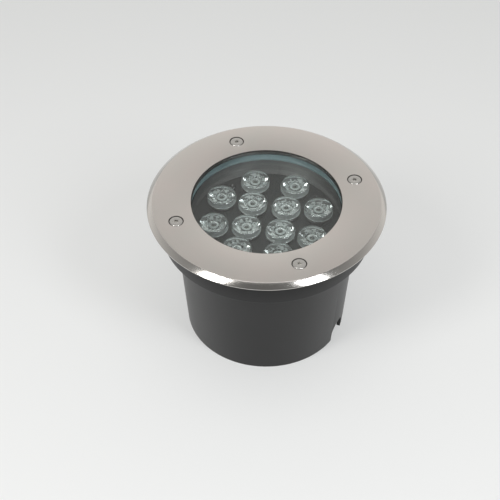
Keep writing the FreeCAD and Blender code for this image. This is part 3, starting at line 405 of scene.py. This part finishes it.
# %% [markdown]
# ## Clear finishes
# Real glass lets light through to what lies under it. A path tracer finds that
# light only with difficulty, because it bends on the way. So the glass bends
# what the eye sees, but lets shadow rays and diffuse rays straight through, a
# little dimmed, and the space under the window is lit without speckles.

# %% Clear finishes
SMEAR_TONE, SMEAR_SIZE = 0.98, 25.0


def clear(name, tint, roughness, ior, dimming, smears, clearness=1.0):
    """Glass or clear plastic that lets light through without speckles."""
    material = bpy.data.materials.new(name)
    material.use_nodes = True
    tree = material.node_tree
    shader = tree.nodes["Principled BSDF"]
    output = tree.nodes["Material Output"]
    source = put(tree, "ShaderNodeGroup", node_tree=GRAIN)
    source.inputs["Fineness"].default_value = smears
    source.inputs["Patches"].default_value = SMEAR_SIZE
    tone = blend_colours(tree, source.outputs["Patch"], (*tint, 1.0),
                         tuple(SMEAR_TONE * part for part in tint) + (1.0,))
    feed(tree, shader.inputs["Base Color"], tone)
    feed(tree, shader.inputs["Roughness"], span(tree, source.outputs["Patch"], *roughness))
    shader.inputs["Transmission Weight"].default_value = clearness
    shader.inputs["IOR"].default_value = ior
    ray = put(tree, "ShaderNodeLightPath")
    through = calc(tree, "MAXIMUM", ray.outputs["Is Shadow Ray"],
                   ray.outputs["Is Diffuse Ray"])
    open_way = put(tree, "ShaderNodeBsdfTransparent", Color=(*dimming, 1.0))
    either = put(tree, "ShaderNodeMixShader")
    feed(tree, either.inputs[0], through)
    feed(tree, either.inputs[1], shader.outputs["BSDF"])
    feed(tree, either.inputs[2], open_way.outputs["BSDF"])
    feed(tree, output.inputs["Surface"], either.outputs["Shader"])
    return material


GLASS_IOR, PLASTIC_IOR = 1.46, 1.49
LENS_DIMMING, LENS_SMEARS = (0.93, 0.95, 0.95), 400.0

WINDOW_GLASS = clear("window_glass", (0.93, 0.975, 0.965), (0.0, 0.015), GLASS_IOR,
                     (0.94, 0.96, 0.955), 200.0)
CLEAR_PLASTIC = clear("clear_lens_plastic", (0.96, 0.985, 0.985), (0.01, 0.04), PLASTIC_IOR,
                      LENS_DIMMING, LENS_SMEARS)
FROSTED_PLASTIC = clear("frosted_lens_plastic", (0.94, 0.975, 0.975), (0.38, 0.52),
                        PLASTIC_IOR, LENS_DIMMING, LENS_SMEARS, 0.82)
MILKY_PLASTIC = clear("milky_lens_plastic", (0.93, 0.965, 0.96), (0.03, 0.12), PLASTIC_IOR,
                      LENS_DIMMING, LENS_SMEARS, 0.62)
FACET_PLASTIC = clear("faceted_lens_plastic", (0.95, 0.975, 0.97), (0.0, 0.03), PLASTIC_IOR,
                      LENS_DIMMING, LENS_SMEARS, 0.95)
print("clear and opaque finishes", len(bpy.data.materials))

# %% [markdown]
# ## Modelling helpers
# Nearly every piece of this light is turned about one axis. By hand it would be
# made from a circle that is extruded and resized ring by ring, so that is what
# the helper does. Lengths are written in millimetres and made metres here.

# %% Selection and edit mode
MM = 0.001
MERGE_DISTANCE = 0.001 * MM


def fresh():
    """Object mode, with nothing selected."""
    if bpy.context.object and bpy.context.object.mode != "OBJECT":
        bpy.ops.object.mode_set(mode="OBJECT")
    bpy.ops.object.select_all(action="DESELECT")


def edit(piece):
    """Edit mode on one piece alone."""
    fresh()
    piece.select_set(True)
    bpy.context.view_layer.objects.active = piece
    bpy.ops.object.mode_set(mode="EDIT")


def close_up(piece):
    """Merge a piece's doubles and turn its faces outwards."""
    edit(piece)
    bpy.ops.mesh.select_all(action="SELECT")
    bpy.ops.mesh.remove_doubles(threshold=MERGE_DISTANCE)
    bpy.ops.mesh.normals_make_consistent(inside=False)
    fresh()


def settle(piece, angle=30.0):
    """Put a piece's place into its mesh, and smooth all but its sharp edges."""
    fresh()
    piece.select_set(True)
    bpy.context.view_layer.objects.active = piece
    bpy.ops.object.transform_apply(location=True, rotation=True, scale=True)
    bpy.ops.object.shade_smooth_by_angle(angle=math.radians(angle))


# %% Turned shapes
def turned(name, corners, segments=192, closed=True):
    """Turn corners of (radius, height) about the axis. A last radius of 0 is a
    pole; otherwise a closed outline comes back to its first corner."""
    fresh()
    radius, height = corners[0]
    bpy.ops.mesh.primitive_circle_add(vertices=segments, radius=radius * MM,
                                      location=(0, 0, height * MM))
    piece = bpy.context.object
    piece.name = name
    bpy.ops.object.mode_set(mode="EDIT")
    bpy.ops.mesh.select_all(action="SELECT")
    way = list(corners[1:])
    if closed and way[-1][0] > 0:
        way.append(corners[0])
    for next_radius, next_height in way:
        rise = (next_height - height) * MM
        bpy.ops.mesh.extrude_region_move(TRANSFORM_OT_translate={"value": (0, 0, rise)})
        if next_radius == 0:
            bpy.ops.mesh.merge(type="CENTER")
            break
        grow = next_radius / radius
        bpy.ops.transform.resize(value=(grow, grow, 1), center_override=(0, 0, 0))
        radius, height = next_radius, next_height
    fresh()
    piece.select_set(True)
    bpy.ops.object.transform_apply(location=True, rotation=True, scale=True)
    return piece


def capped(name, corners, segments):
    """A turned solid whose first ring gets a flat cap."""
    piece = turned(name, corners, segments, closed=False)
    edit(piece)
    bpy.ops.mesh.select_all(action="DESELECT")
    bpy.ops.mesh.select_non_manifold()
    bpy.ops.mesh.edge_face_add()
    close_up(piece)
    return piece


# %% Modifiers
def apply_modifier(piece, modifier):
    """Make a modifier's result the piece's own mesh."""
    fresh()
    bpy.context.view_layer.objects.active = piece
    bpy.ops.object.modifier_apply(modifier=modifier.name)


def soften(piece, width, segments=2, angle=30.0):
    """Round a piece's sharp edges."""
    bevel = piece.modifiers.new("soft edges", "BEVEL")
    bevel.width = width * MM
    bevel.segments = segments
    bevel.limit_method = "ANGLE"
    bevel.angle_limit = math.radians(angle)
    apply_modifier(piece, bevel)


def cut(piece, cutter):
    """Take a cutter's shape out of a piece, and throw the cutter away."""
    difference = piece.modifiers.new("cut", "BOOLEAN")
    difference.operation = "DIFFERENCE"
    difference.solver = "EXACT"
    difference.object = cutter
    apply_modifier(piece, difference)
    bpy.data.objects.remove(cutter, do_unlink=True)


def place_ring(piece, radius, turn, count):
    """Copies of a piece on a circle about the axis, each with its own mesh."""
    copies = []
    for step in range(count):
        angle = math.radians(turn + step * 360.0 / count)
        fresh()
        piece.select_set(True)
        bpy.context.view_layer.objects.active = piece
        bpy.ops.object.duplicate()
        copy = bpy.context.object
        copy.location = (radius * MM * math.cos(angle), radius * MM * math.sin(angle), 0)
        copy.rotation_euler = (0, 0, angle)
        copies.append(copy)
    return copies


def joined(pieces, name):
    """Several loose pieces made one object."""
    fresh()
    for piece in pieces:
        piece.select_set(True)
    bpy.context.view_layer.objects.active = pieces[0]
    bpy.ops.object.join()
    pieces[0].name = name
    return pieces[0]


# %% Dress a piece
def dress(piece, material, body, slot, *nodes):
    """Finish and body for a piece, and hide the CAD nodes that it stands for; slot is not used.
    """
    if material is not None:
        piece.data.materials.clear()
        piece.data.materials.append(material)
    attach(piece, body)
    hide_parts(*nodes)
    print(piece.name, len(piece.data.vertices), "points")


def finished_copy(node, material, slot):
    """A CAD node's own shape, merged and smoothed, for pieces that seldom show."""
    fresh()
    source = frame["nodes"][node]
    source.select_set(True)
    bpy.context.view_layer.objects.active = source
    bpy.ops.object.duplicate()
    bpy.ops.object.parent_clear(type="CLEAR_KEEP_TRANSFORM")
    piece = bpy.context.object
    piece.name = node + "_finished"
    close_up(piece)
    settle(piece)
    dress(piece, material, "lamp_unit", slot, node)


# %% [markdown]
# ## Mounting sleeve
# The sleeve is one moulding: a tapered bucket under a wide collar. The edges of
# a moulding are never sharp, so they are rounded before the cable notch is cut.

# %% Sleeve
FOOT_RADIUS, BUCKET_RADIUS, COLLAR_RADIUS = 55.1, 61.1, 71.0
MOULDED_WALL, COLLAR_FLOOR = 2.5, 3.0
COLLAR_UNDER, SEAT = 81.1, 102.5

collar_inside, collar_ledge = COLLAR_RADIUS - MOULDED_WALL, COLLAR_UNDER + COLLAR_FLOOR
sleeve = turned("sleeve_moulding", [
    (FOOT_RADIUS, 0.0), (BUCKET_RADIUS, COLLAR_UNDER), (COLLAR_RADIUS, COLLAR_UNDER),
    (COLLAR_RADIUS, SEAT), (collar_inside, SEAT), (collar_inside, collar_ledge),
    (BUCKET_RADIUS - MOULDED_WALL, collar_ledge), (FOOT_RADIUS - MOULDED_WALL, 0.0)])
close_up(sleeve)
soften(sleeve, 0.5, 3)

# %% Cable notch in the sleeve
NOTCH_TURN = math.radians(-26.15)
ARCH_RADIUS, ARCH_CENTRE = 8.0, 6.4
NOTCH_DEPTH, NOTCH_REACH = 12.0, 54.0
BLOCK_HEIGHT = 8.0

notch_middle = Vector((math.cos(NOTCH_TURN), math.sin(NOTCH_TURN), 0)) * NOTCH_REACH * MM
fresh()
bpy.ops.mesh.primitive_cylinder_add(
    vertices=64, radius=ARCH_RADIUS * MM, depth=NOTCH_DEPTH * MM,
    location=notch_middle + Vector((0, 0, ARCH_CENTRE * MM)),
    rotation=(0, math.pi / 2, NOTCH_TURN))
cut(sleeve, bpy.context.object)
fresh()
bpy.ops.mesh.primitive_cube_add(
    size=1.0, rotation=(0, 0, NOTCH_TURN),
    location=notch_middle + Vector((0, 0, (ARCH_CENTRE - BLOCK_HEIGHT / 2) * MM)),
    scale=(NOTCH_DEPTH * MM, 2 * ARCH_RADIUS * MM, BLOCK_HEIGHT * MM))
cut(sleeve, bpy.context.object)
settle(sleeve)
dress(sleeve, SLEEVE_PLASTIC, "sleeve", "sleeve_plastic", "mounting_sleeve")

# %% [markdown]
# ## Face ring
# The ring is turned from stainless steel: satin on top, polished on its bevel.
# The thin land under the bevel catches a bright line, so each edge gets a small
# radius of its own. Four countersinks are cut last.

# %% Face ring
WINDOW, RING, FACE = 50.2, 80.0, 106.0
BEVEL_TOP, LAND = 76.4, 103.0
WINDOW_EDGE = 0.3
BORE_LINE = 105.0
SCREW_CIRCLE, SCREW_TURN, SCREW_COUNT = 63.0, 18.85, 4

ring = turned("face_ring_turned", [
    (WINDOW, SEAT), (RING, SEAT), (RING, LAND), (BEVEL_TOP, FACE),
    (WINDOW + WINDOW_EDGE, FACE), (WINDOW, FACE - WINDOW_EDGE), (WINDOW, BORE_LINE)], 256)
close_up(ring)
soften(ring, 0.10, 2, 20.0)

# %% Countersinks in the ring
HOLE_RADIUS, SINK_RADIUS = 2.25, 5.0
SINK_TOP, SINK_BREAK = FACE - 0.3, 0.1
SPARE_UNDER, SPARE_OVER = 0.5, 0.3

sink = capped("sink_cutter", [
    (HOLE_RADIUS, SEAT - SPARE_UNDER),
    (HOLE_RADIUS, SINK_TOP - (SINK_RADIUS - HOLE_RADIUS)),
    (SINK_RADIUS, SINK_TOP), (SINK_RADIUS, FACE - 0.06),
    (SINK_RADIUS + SINK_BREAK, FACE + 0.04), (SINK_RADIUS + SINK_BREAK, FACE + SPARE_OVER),
    (0, FACE + SPARE_OVER)], 48)
for cutter in place_ring(sink, SCREW_CIRCLE, SCREW_TURN, SCREW_COUNT):
    cut(ring, cutter)
bpy.data.objects.remove(sink, do_unlink=True)
settle(ring, 35.0)

# %% Satin on top, polish on the bevel, painted shade as dark steel in the bore and the countersinks
SATIN, POLISHED, SHADE_IN_GAP, SHADE_IN_BORE = range(4)

ring.data.materials.clear()
for finish in (SATIN_STEEL, POLISHED_STEEL, GAP_STEEL_PAINTED_SHADE, BORE_STEEL_PAINTED_SHADE):
    ring.data.materials.append(finish)
for face in ring.data.polygons:
    reach = math.hypot(face.center.x, face.center.y) / MM
    on_top = face.normal.z > 0.995
    in_sink = (abs(reach - SCREW_CIRCLE) < SINK_RADIUS + 0.2
               and abs(face.normal.z) < 0.99)
    in_bore = reach < WINDOW + WINDOW_EDGE + 0.15
    # Painted shade: countersink walls and the bore's top edge get the darkest steel, and the
    # lower bore a dark one.
    if in_sink or in_bore and not on_top:
        low = in_bore and face.center.z < BORE_LINE * MM
        face.material_index = SHADE_IN_BORE if low else SHADE_IN_GAP
    elif reach > BEVEL_TOP - 0.03 and not on_top:
        face.material_index = POLISHED
print("polished faces", sum(face.material_index == POLISHED for face in ring.data.polygons))
dress(ring, None, "lamp_unit", "ring_steel", "face_ring")

# %% [markdown]
# ## Face screws
# Each screw is a small countersunk one with a hexagon socket. The head is a
# round plate with a six-sided hole, so the face between a circle and a hexagon
# is filled, and the hexagon is pushed down into the head.

# %% Face screw
HEAD_TOP, SCREW_TIP = FACE - 0.12, FACE - 12.65
SHANK_RADIUS, TIP_RADIUS, TIP_BEVEL = 2.0, 1.6, 0.4
SOCKET_ACROSS, SOCKET_DEPTH = 2.5, 1.6


def socket_screw(name, rim):
    """A screw: rim is its outline from the head's edge to the tip, and the
    socket is sunk into the head's face."""
    piece = turned(name, rim, 48, closed=False)
    edit(piece)
    bpy.ops.mesh.select_all(action="DESELECT")
    bpy.ops.mesh.primitive_circle_add(vertices=6, radius=SOCKET_ACROSS / math.sqrt(3) * MM,
                                      location=(0, 0, rim[0][1] * MM))
    bpy.ops.mesh.extrude_region_move(
        TRANSFORM_OT_translate={"value": (0, 0, -SOCKET_DEPTH * MM)})
    bpy.ops.mesh.edge_face_add()
    bpy.ops.mesh.select_all(action="DESELECT")
    bpy.ops.mesh.select_non_manifold()
    bpy.ops.mesh.fill(use_beauty=True)
    close_up(piece)
    soften(piece, 0.08, 2)
    return piece


screw = socket_screw("face_screw", [
    (3.85, HEAD_TOP), (4.15, HEAD_TOP - 0.06), (4.36, HEAD_TOP - 0.18),
    (4.49, HEAD_TOP - 0.36), (4.52, HEAD_TOP - 0.55), (SHANK_RADIUS, HEAD_TOP - 3.07),
    (SHANK_RADIUS, SCREW_TIP + TIP_BEVEL), (TIP_RADIUS, SCREW_TIP), (0, SCREW_TIP)])
face_screws = joined(place_ring(screw, SCREW_CIRCLE, SCREW_TURN, SCREW_COUNT),
                     "face_screws_turned")
bpy.data.objects.remove(screw, do_unlink=True)
settle(face_screws)
dress(face_screws, SCREW_STEEL, "lamp_unit", "screw_steel", "face_screws")

# %% [markdown]
# ## Window and gasket
# The window is a thick disc of toughened glass with ground edges, wrapped in a
# U-shaped ring of pale silicone. At the far side of the opening the silicone is
# seen through the glass as a blue-green band.

# %% Cover glass
GLASS_UNDER, GLASS_TOP, GLASS_RADIUS = 93.7, 101.7, 55.5
GROUND_EDGE = 0.6

glass = capped("window_disc", [
    (GLASS_RADIUS - GROUND_EDGE, GLASS_UNDER), (GLASS_RADIUS, GLASS_UNDER + GROUND_EDGE),
    (GLASS_RADIUS, GLASS_TOP - GROUND_EDGE), (GLASS_RADIUS - GROUND_EDGE, GLASS_TOP),
    (0, GLASS_TOP)], 192)
settle(glass, 20.0)
dress(glass, WINDOW_GLASS, "lamp_unit", "window_glass", "cover_glass")

# %% Gasket
LEDGE = 92.5
LOWER_LIP, UPPER_LIP = 51.2, 52.5
GROOVE, GASKET_RADIUS = 55.55, 57.05

gasket = turned("window_gasket", [
    (LOWER_LIP, LEDGE), (GASKET_RADIUS, LEDGE), (GASKET_RADIUS, SEAT), (UPPER_LIP, SEAT),
    (UPPER_LIP, GLASS_TOP), (GROOVE, GLASS_TOP), (GROOVE, GLASS_UNDER),
    (LOWER_LIP, GLASS_UNDER)])
close_up(gasket)
soften(gasket, 0.15)
settle(gasket)
dress(gasket, PALE_SILICONE, "lamp_unit", "pale_silicone", "glass_gasket")

# %% [markdown]
# ## Lenses
# Each lens is one clear moulding. A bowl under its front throws the light
# forwards, flat above its knee and steep below it, and the small facets on it
# sparkle like cut glass. Their corners are moved a little at random, with a fixed
# seed, because on a perfect bowl all facets of a row would mirror the same thing.
# Some inner facets are milky, picked at random too. The skirt is frosted, and the
# rim of the small hollow over the emitter is milky, so it is seen as a pale ring.
# The outside is turned smooth, the bowl coarse, and the gap between is filled.

# %% The bowl of a lens
BOWL_SIDES, FLAT_ROWS, STEEP_ROWS = 40, 4, 3
BOWL_TOP, BOWL_KNEE, BOWL_FOOT = (8.8, 88.1), (5.2, 85.6), (3.7, 82.2)
HOLLOW_RADIUS, HOLLOW_RIM, HOLLOW_TOP = 3.4, 84.3, 84.8
FACET_JOG, LENS_SEED = 0.07, 5
MARGIN = 0.1


def slope(first, last, count):
    """Corners of (radius, height) in even steps from first up to, but not at, last."""
    return [(first[0] + (last[0] - first[0]) * step / count,
             first[1] + (last[1] - first[1]) * step / count) for step in range(count)]


def jog_facets(bowl):
    """Move the bowl's corners a little, so that no two facets mirror alike."""
    fresh()
    mesh = bowl.data
    for part in (*mesh.polygons, *mesh.edges):
        part.select = False
    for corner in mesh.vertices:
        reach = math.hypot(corner.co.x, corner.co.y) / MM
        corner.select = BOWL_FOOT[0] + MARGIN < reach < BOWL_TOP[0] - MARGIN
    edit(bowl)
    bpy.ops.transform.vertex_random(offset=FACET_JOG * MM, uniform=1.0, normal=0.0,
                                    seed=LENS_SEED)
    fresh()


def lens_bowl():
    """The faceted underside of a lens, with the hollow over the emitter."""
    rows = slope(BOWL_TOP, BOWL_KNEE, FLAT_ROWS) + slope(BOWL_KNEE, BOWL_FOOT, STEEP_ROWS)
    bowl = turned("lens_bowl", rows + [
        BOWL_FOOT, (HOLLOW_RADIUS, BOWL_FOOT[1]), (HOLLOW_RADIUS, HOLLOW_RIM),
        (2.1, HOLLOW_TOP), (1.95, HOLLOW_TOP + 0.5), (1.5, HOLLOW_TOP + 1.05),
        (0.8, HOLLOW_TOP + 1.4), (0, HOLLOW_TOP + 1.5)], BOWL_SIDES, closed=False)
    jog_facets(bowl)
    return bowl


# %% One lens
BOARD_TOP, LENS_TOP = 81.4, 89.4
SKIRT_INSIDE, SKIRT_OUTSIDE, SKIRT_LENGTH = 9.0, 9.75, 5.0


def one_lens():
    """A lens on the axis, at its height over the board."""
    skirt_foot = LENS_TOP - SKIRT_LENGTH
    shell = turned("lens_shell", [
        (SKIRT_INSIDE, BOWL_TOP[1]), (SKIRT_INSIDE, skirt_foot), (SKIRT_OUTSIDE, skirt_foot),
        (SKIRT_OUTSIDE, LENS_TOP - 1.3), (9.67, LENS_TOP - 0.92), (9.42, LENS_TOP - 0.59),
        (9.05, LENS_TOP - 0.37), (8.6, LENS_TOP - 0.27), (7.0, LENS_TOP - 0.15),
        (4.5, LENS_TOP - 0.06), (2.0, LENS_TOP - 0.01), (0, LENS_TOP)], 64, closed=False)
    lens = joined([shell, lens_bowl()], "lens_master")
    edit(lens)
    bpy.ops.mesh.select_all(action="DESELECT")
    bpy.ops.mesh.select_non_manifold()
    bpy.ops.mesh.fill(use_beauty=True)
    close_up(lens)
    settle(lens, 32.0)
    return lens


# %% The finishes of a lens
CLEAR, FROSTED, MILKY, FACETED = range(4)
MILKY_REACH, MILKY_SHARE = 6.7, 0.6
RIM_INSIDE = 2.2


def lens_finishes(lens):
    """Facets on the bowl, a milky rim on the hollow, and frost on the skirt."""
    dice = random.Random(LENS_SEED)
    for finish in (CLEAR_PLASTIC, FROSTED_PLASTIC, MILKY_PLASTIC, FACET_PLASTIC):
        lens.data.materials.append(finish)
    for face in lens.data.polygons:
        reach = math.hypot(face.center.x, face.center.y) / MM
        height = face.center.z / MM
        on_bowl = BOWL_FOOT[0] < reach < BOWL_TOP[0] and height < BOWL_TOP[1] - MARGIN
        on_rim = RIM_INSIDE < reach < HOLLOW_RADIUS and HOLLOW_RIM < height < HOLLOW_TOP
        if on_bowl:
            face.use_smooth = False
        if on_rim or (on_bowl and reach < MILKY_REACH and dice.random() < MILKY_SHARE):
            face.material_index = MILKY
        elif on_bowl:
            face.material_index = FACETED
        elif reach > SKIRT_OUTSIDE - 0.2:
            face.material_index = FROSTED


lens_master = one_lens()
lens_finishes(lens_master)
print("lens faces", len(lens_master.data.polygons))

# %% Twelve lenses
OUTER_CIRCLE, INNER_CIRCLE = 36.2, 16.3
OUTER_COUNT, INNER_COUNT = 8, 4
LAMP_TURN = 34.3


def two_circles(master):
    """Eight copies on the outer circle and four on the inner one; the master goes."""
    copies = place_ring(master, OUTER_CIRCLE, LAMP_TURN - 180.0 / OUTER_COUNT, OUTER_COUNT)
    copies += place_ring(master, INNER_CIRCLE, LAMP_TURN, INNER_COUNT)
    bpy.data.objects.remove(master, do_unlink=True)
    return copies


for number, lens in enumerate(two_circles(lens_master), start=1):
    fresh()
    lens.select_set(True)
    bpy.context.view_layer.objects.active = lens
    bpy.ops.object.transform_apply(location=True, rotation=True, scale=True)
    lens.name = f"clear_lens_{number:02d}"
    dress(lens, None, "lamp_unit", "clear_lens", f"lens_{number:02d}")

# %% Lens holders
HOLDER_BORE, HOLDER_FOOT = 7.6, 9.4
STEP_TOP, HOLDER_TOP = BOARD_TOP + 1.8, BOARD_TOP + 3.0

holder_master = turned("holder_master", [
    (HOLDER_BORE, BOARD_TOP), (HOLDER_FOOT, BOARD_TOP), (HOLDER_FOOT, STEP_TOP - 0.3),
    (HOLDER_FOOT - 0.3, STEP_TOP), (SKIRT_INSIDE, STEP_TOP), (SKIRT_INSIDE, HOLDER_TOP),
    (HOLDER_BORE, HOLDER_TOP)], 64)
close_up(holder_master)
soften(holder_master, 0.08)
for number, holder in enumerate(two_circles(holder_master), start=1):
    settle(holder)
    holder.name = f"seat_ring_{number:02d}"
    dress(holder, HOLDER_PLASTIC, "lamp_unit", "holder_plastic", f"lens_holder_{number:02d}")

# %% [markdown]
# ## The rest of the lamp unit
# The other pieces are right as the CAD model has them. A CAD mesh is loose
# triangles with hard edges, so each one is copied, merged and smoothed between its
# sharp edges, and gets the finish of its own stuff, also where it is sealed in.

# %% Housing, board and what lies on it
for node, material, slot in (
        ("lamp_housing", CAST_COATING, "housing_coating"),
        ("led_board", BOARD_MASK, "board_mask"),
        ("thermal_pad", HEAT_PAD, "heat_pad"),
        ("led_emitters", EMITTER, "emitter_dome"),
        ("board_screws", BLACK_STEEL, "screw_steel"),
        ("wire_grommet", DARK_RUBBER, "dark_rubber")):
    finished_copy(node, material, slot)

# %% Rear cover and gland
for node, material, slot in (
        ("rear_cover", CAST_COATING, "housing_coating"),
        ("rear_cover_screws", SCREW_STEEL, "screw_steel"),
        ("gland_body", NYLON, "gland_nylon"),
        ("gland_nut", NYLON, "gland_nylon"),
        ("gland_locknut", NYLON, "gland_nylon"),
        ("gland_seal", DARK_RUBBER, "dark_rubber"),
        ("gland_washer", DARK_RUBBER, "dark_rubber"),
        ("rear_cover_seal", DARK_RUBBER, "dark_rubber")):
    finished_copy(node, material, slot)

# %% Driver, terminals and leads
for node, material, slot in (
        ("driver_case", DRIVER_PLASTIC, "driver_plastic"),
        ("driver_lid", DRIVER_PLASTIC, "driver_plastic"),
        ("driver_board", LAMINATE, "circuit_laminate"),
        ("driver_transformer", FERRITE, "ferrite"),
        ("driver_choke", FERRITE, "ferrite"),
        ("driver_capacitor", CAN, "capacitor_can"),
        ("driver_screws", SCREW_STEEL, "screw_steel"),
        ("terminal_block", BLOCK_PLASTIC, "terminal_plastic"),
        ("terminal_screws", BRASS, "terminal_brass"),
        ("lead_positive", RED, "red_insulation"),
        ("lead_negative", BLACK, "black_insulation"),
        ("lead_live", BROWN, "brown_insulation"),
        ("lead_neutral", BLUE, "blue_insulation")):
    finished_copy(node, material, slot)

# %% [markdown]
# ## Finish
# The visual model has to stay inside the CAD model's box.

# %% Finish
fresh()
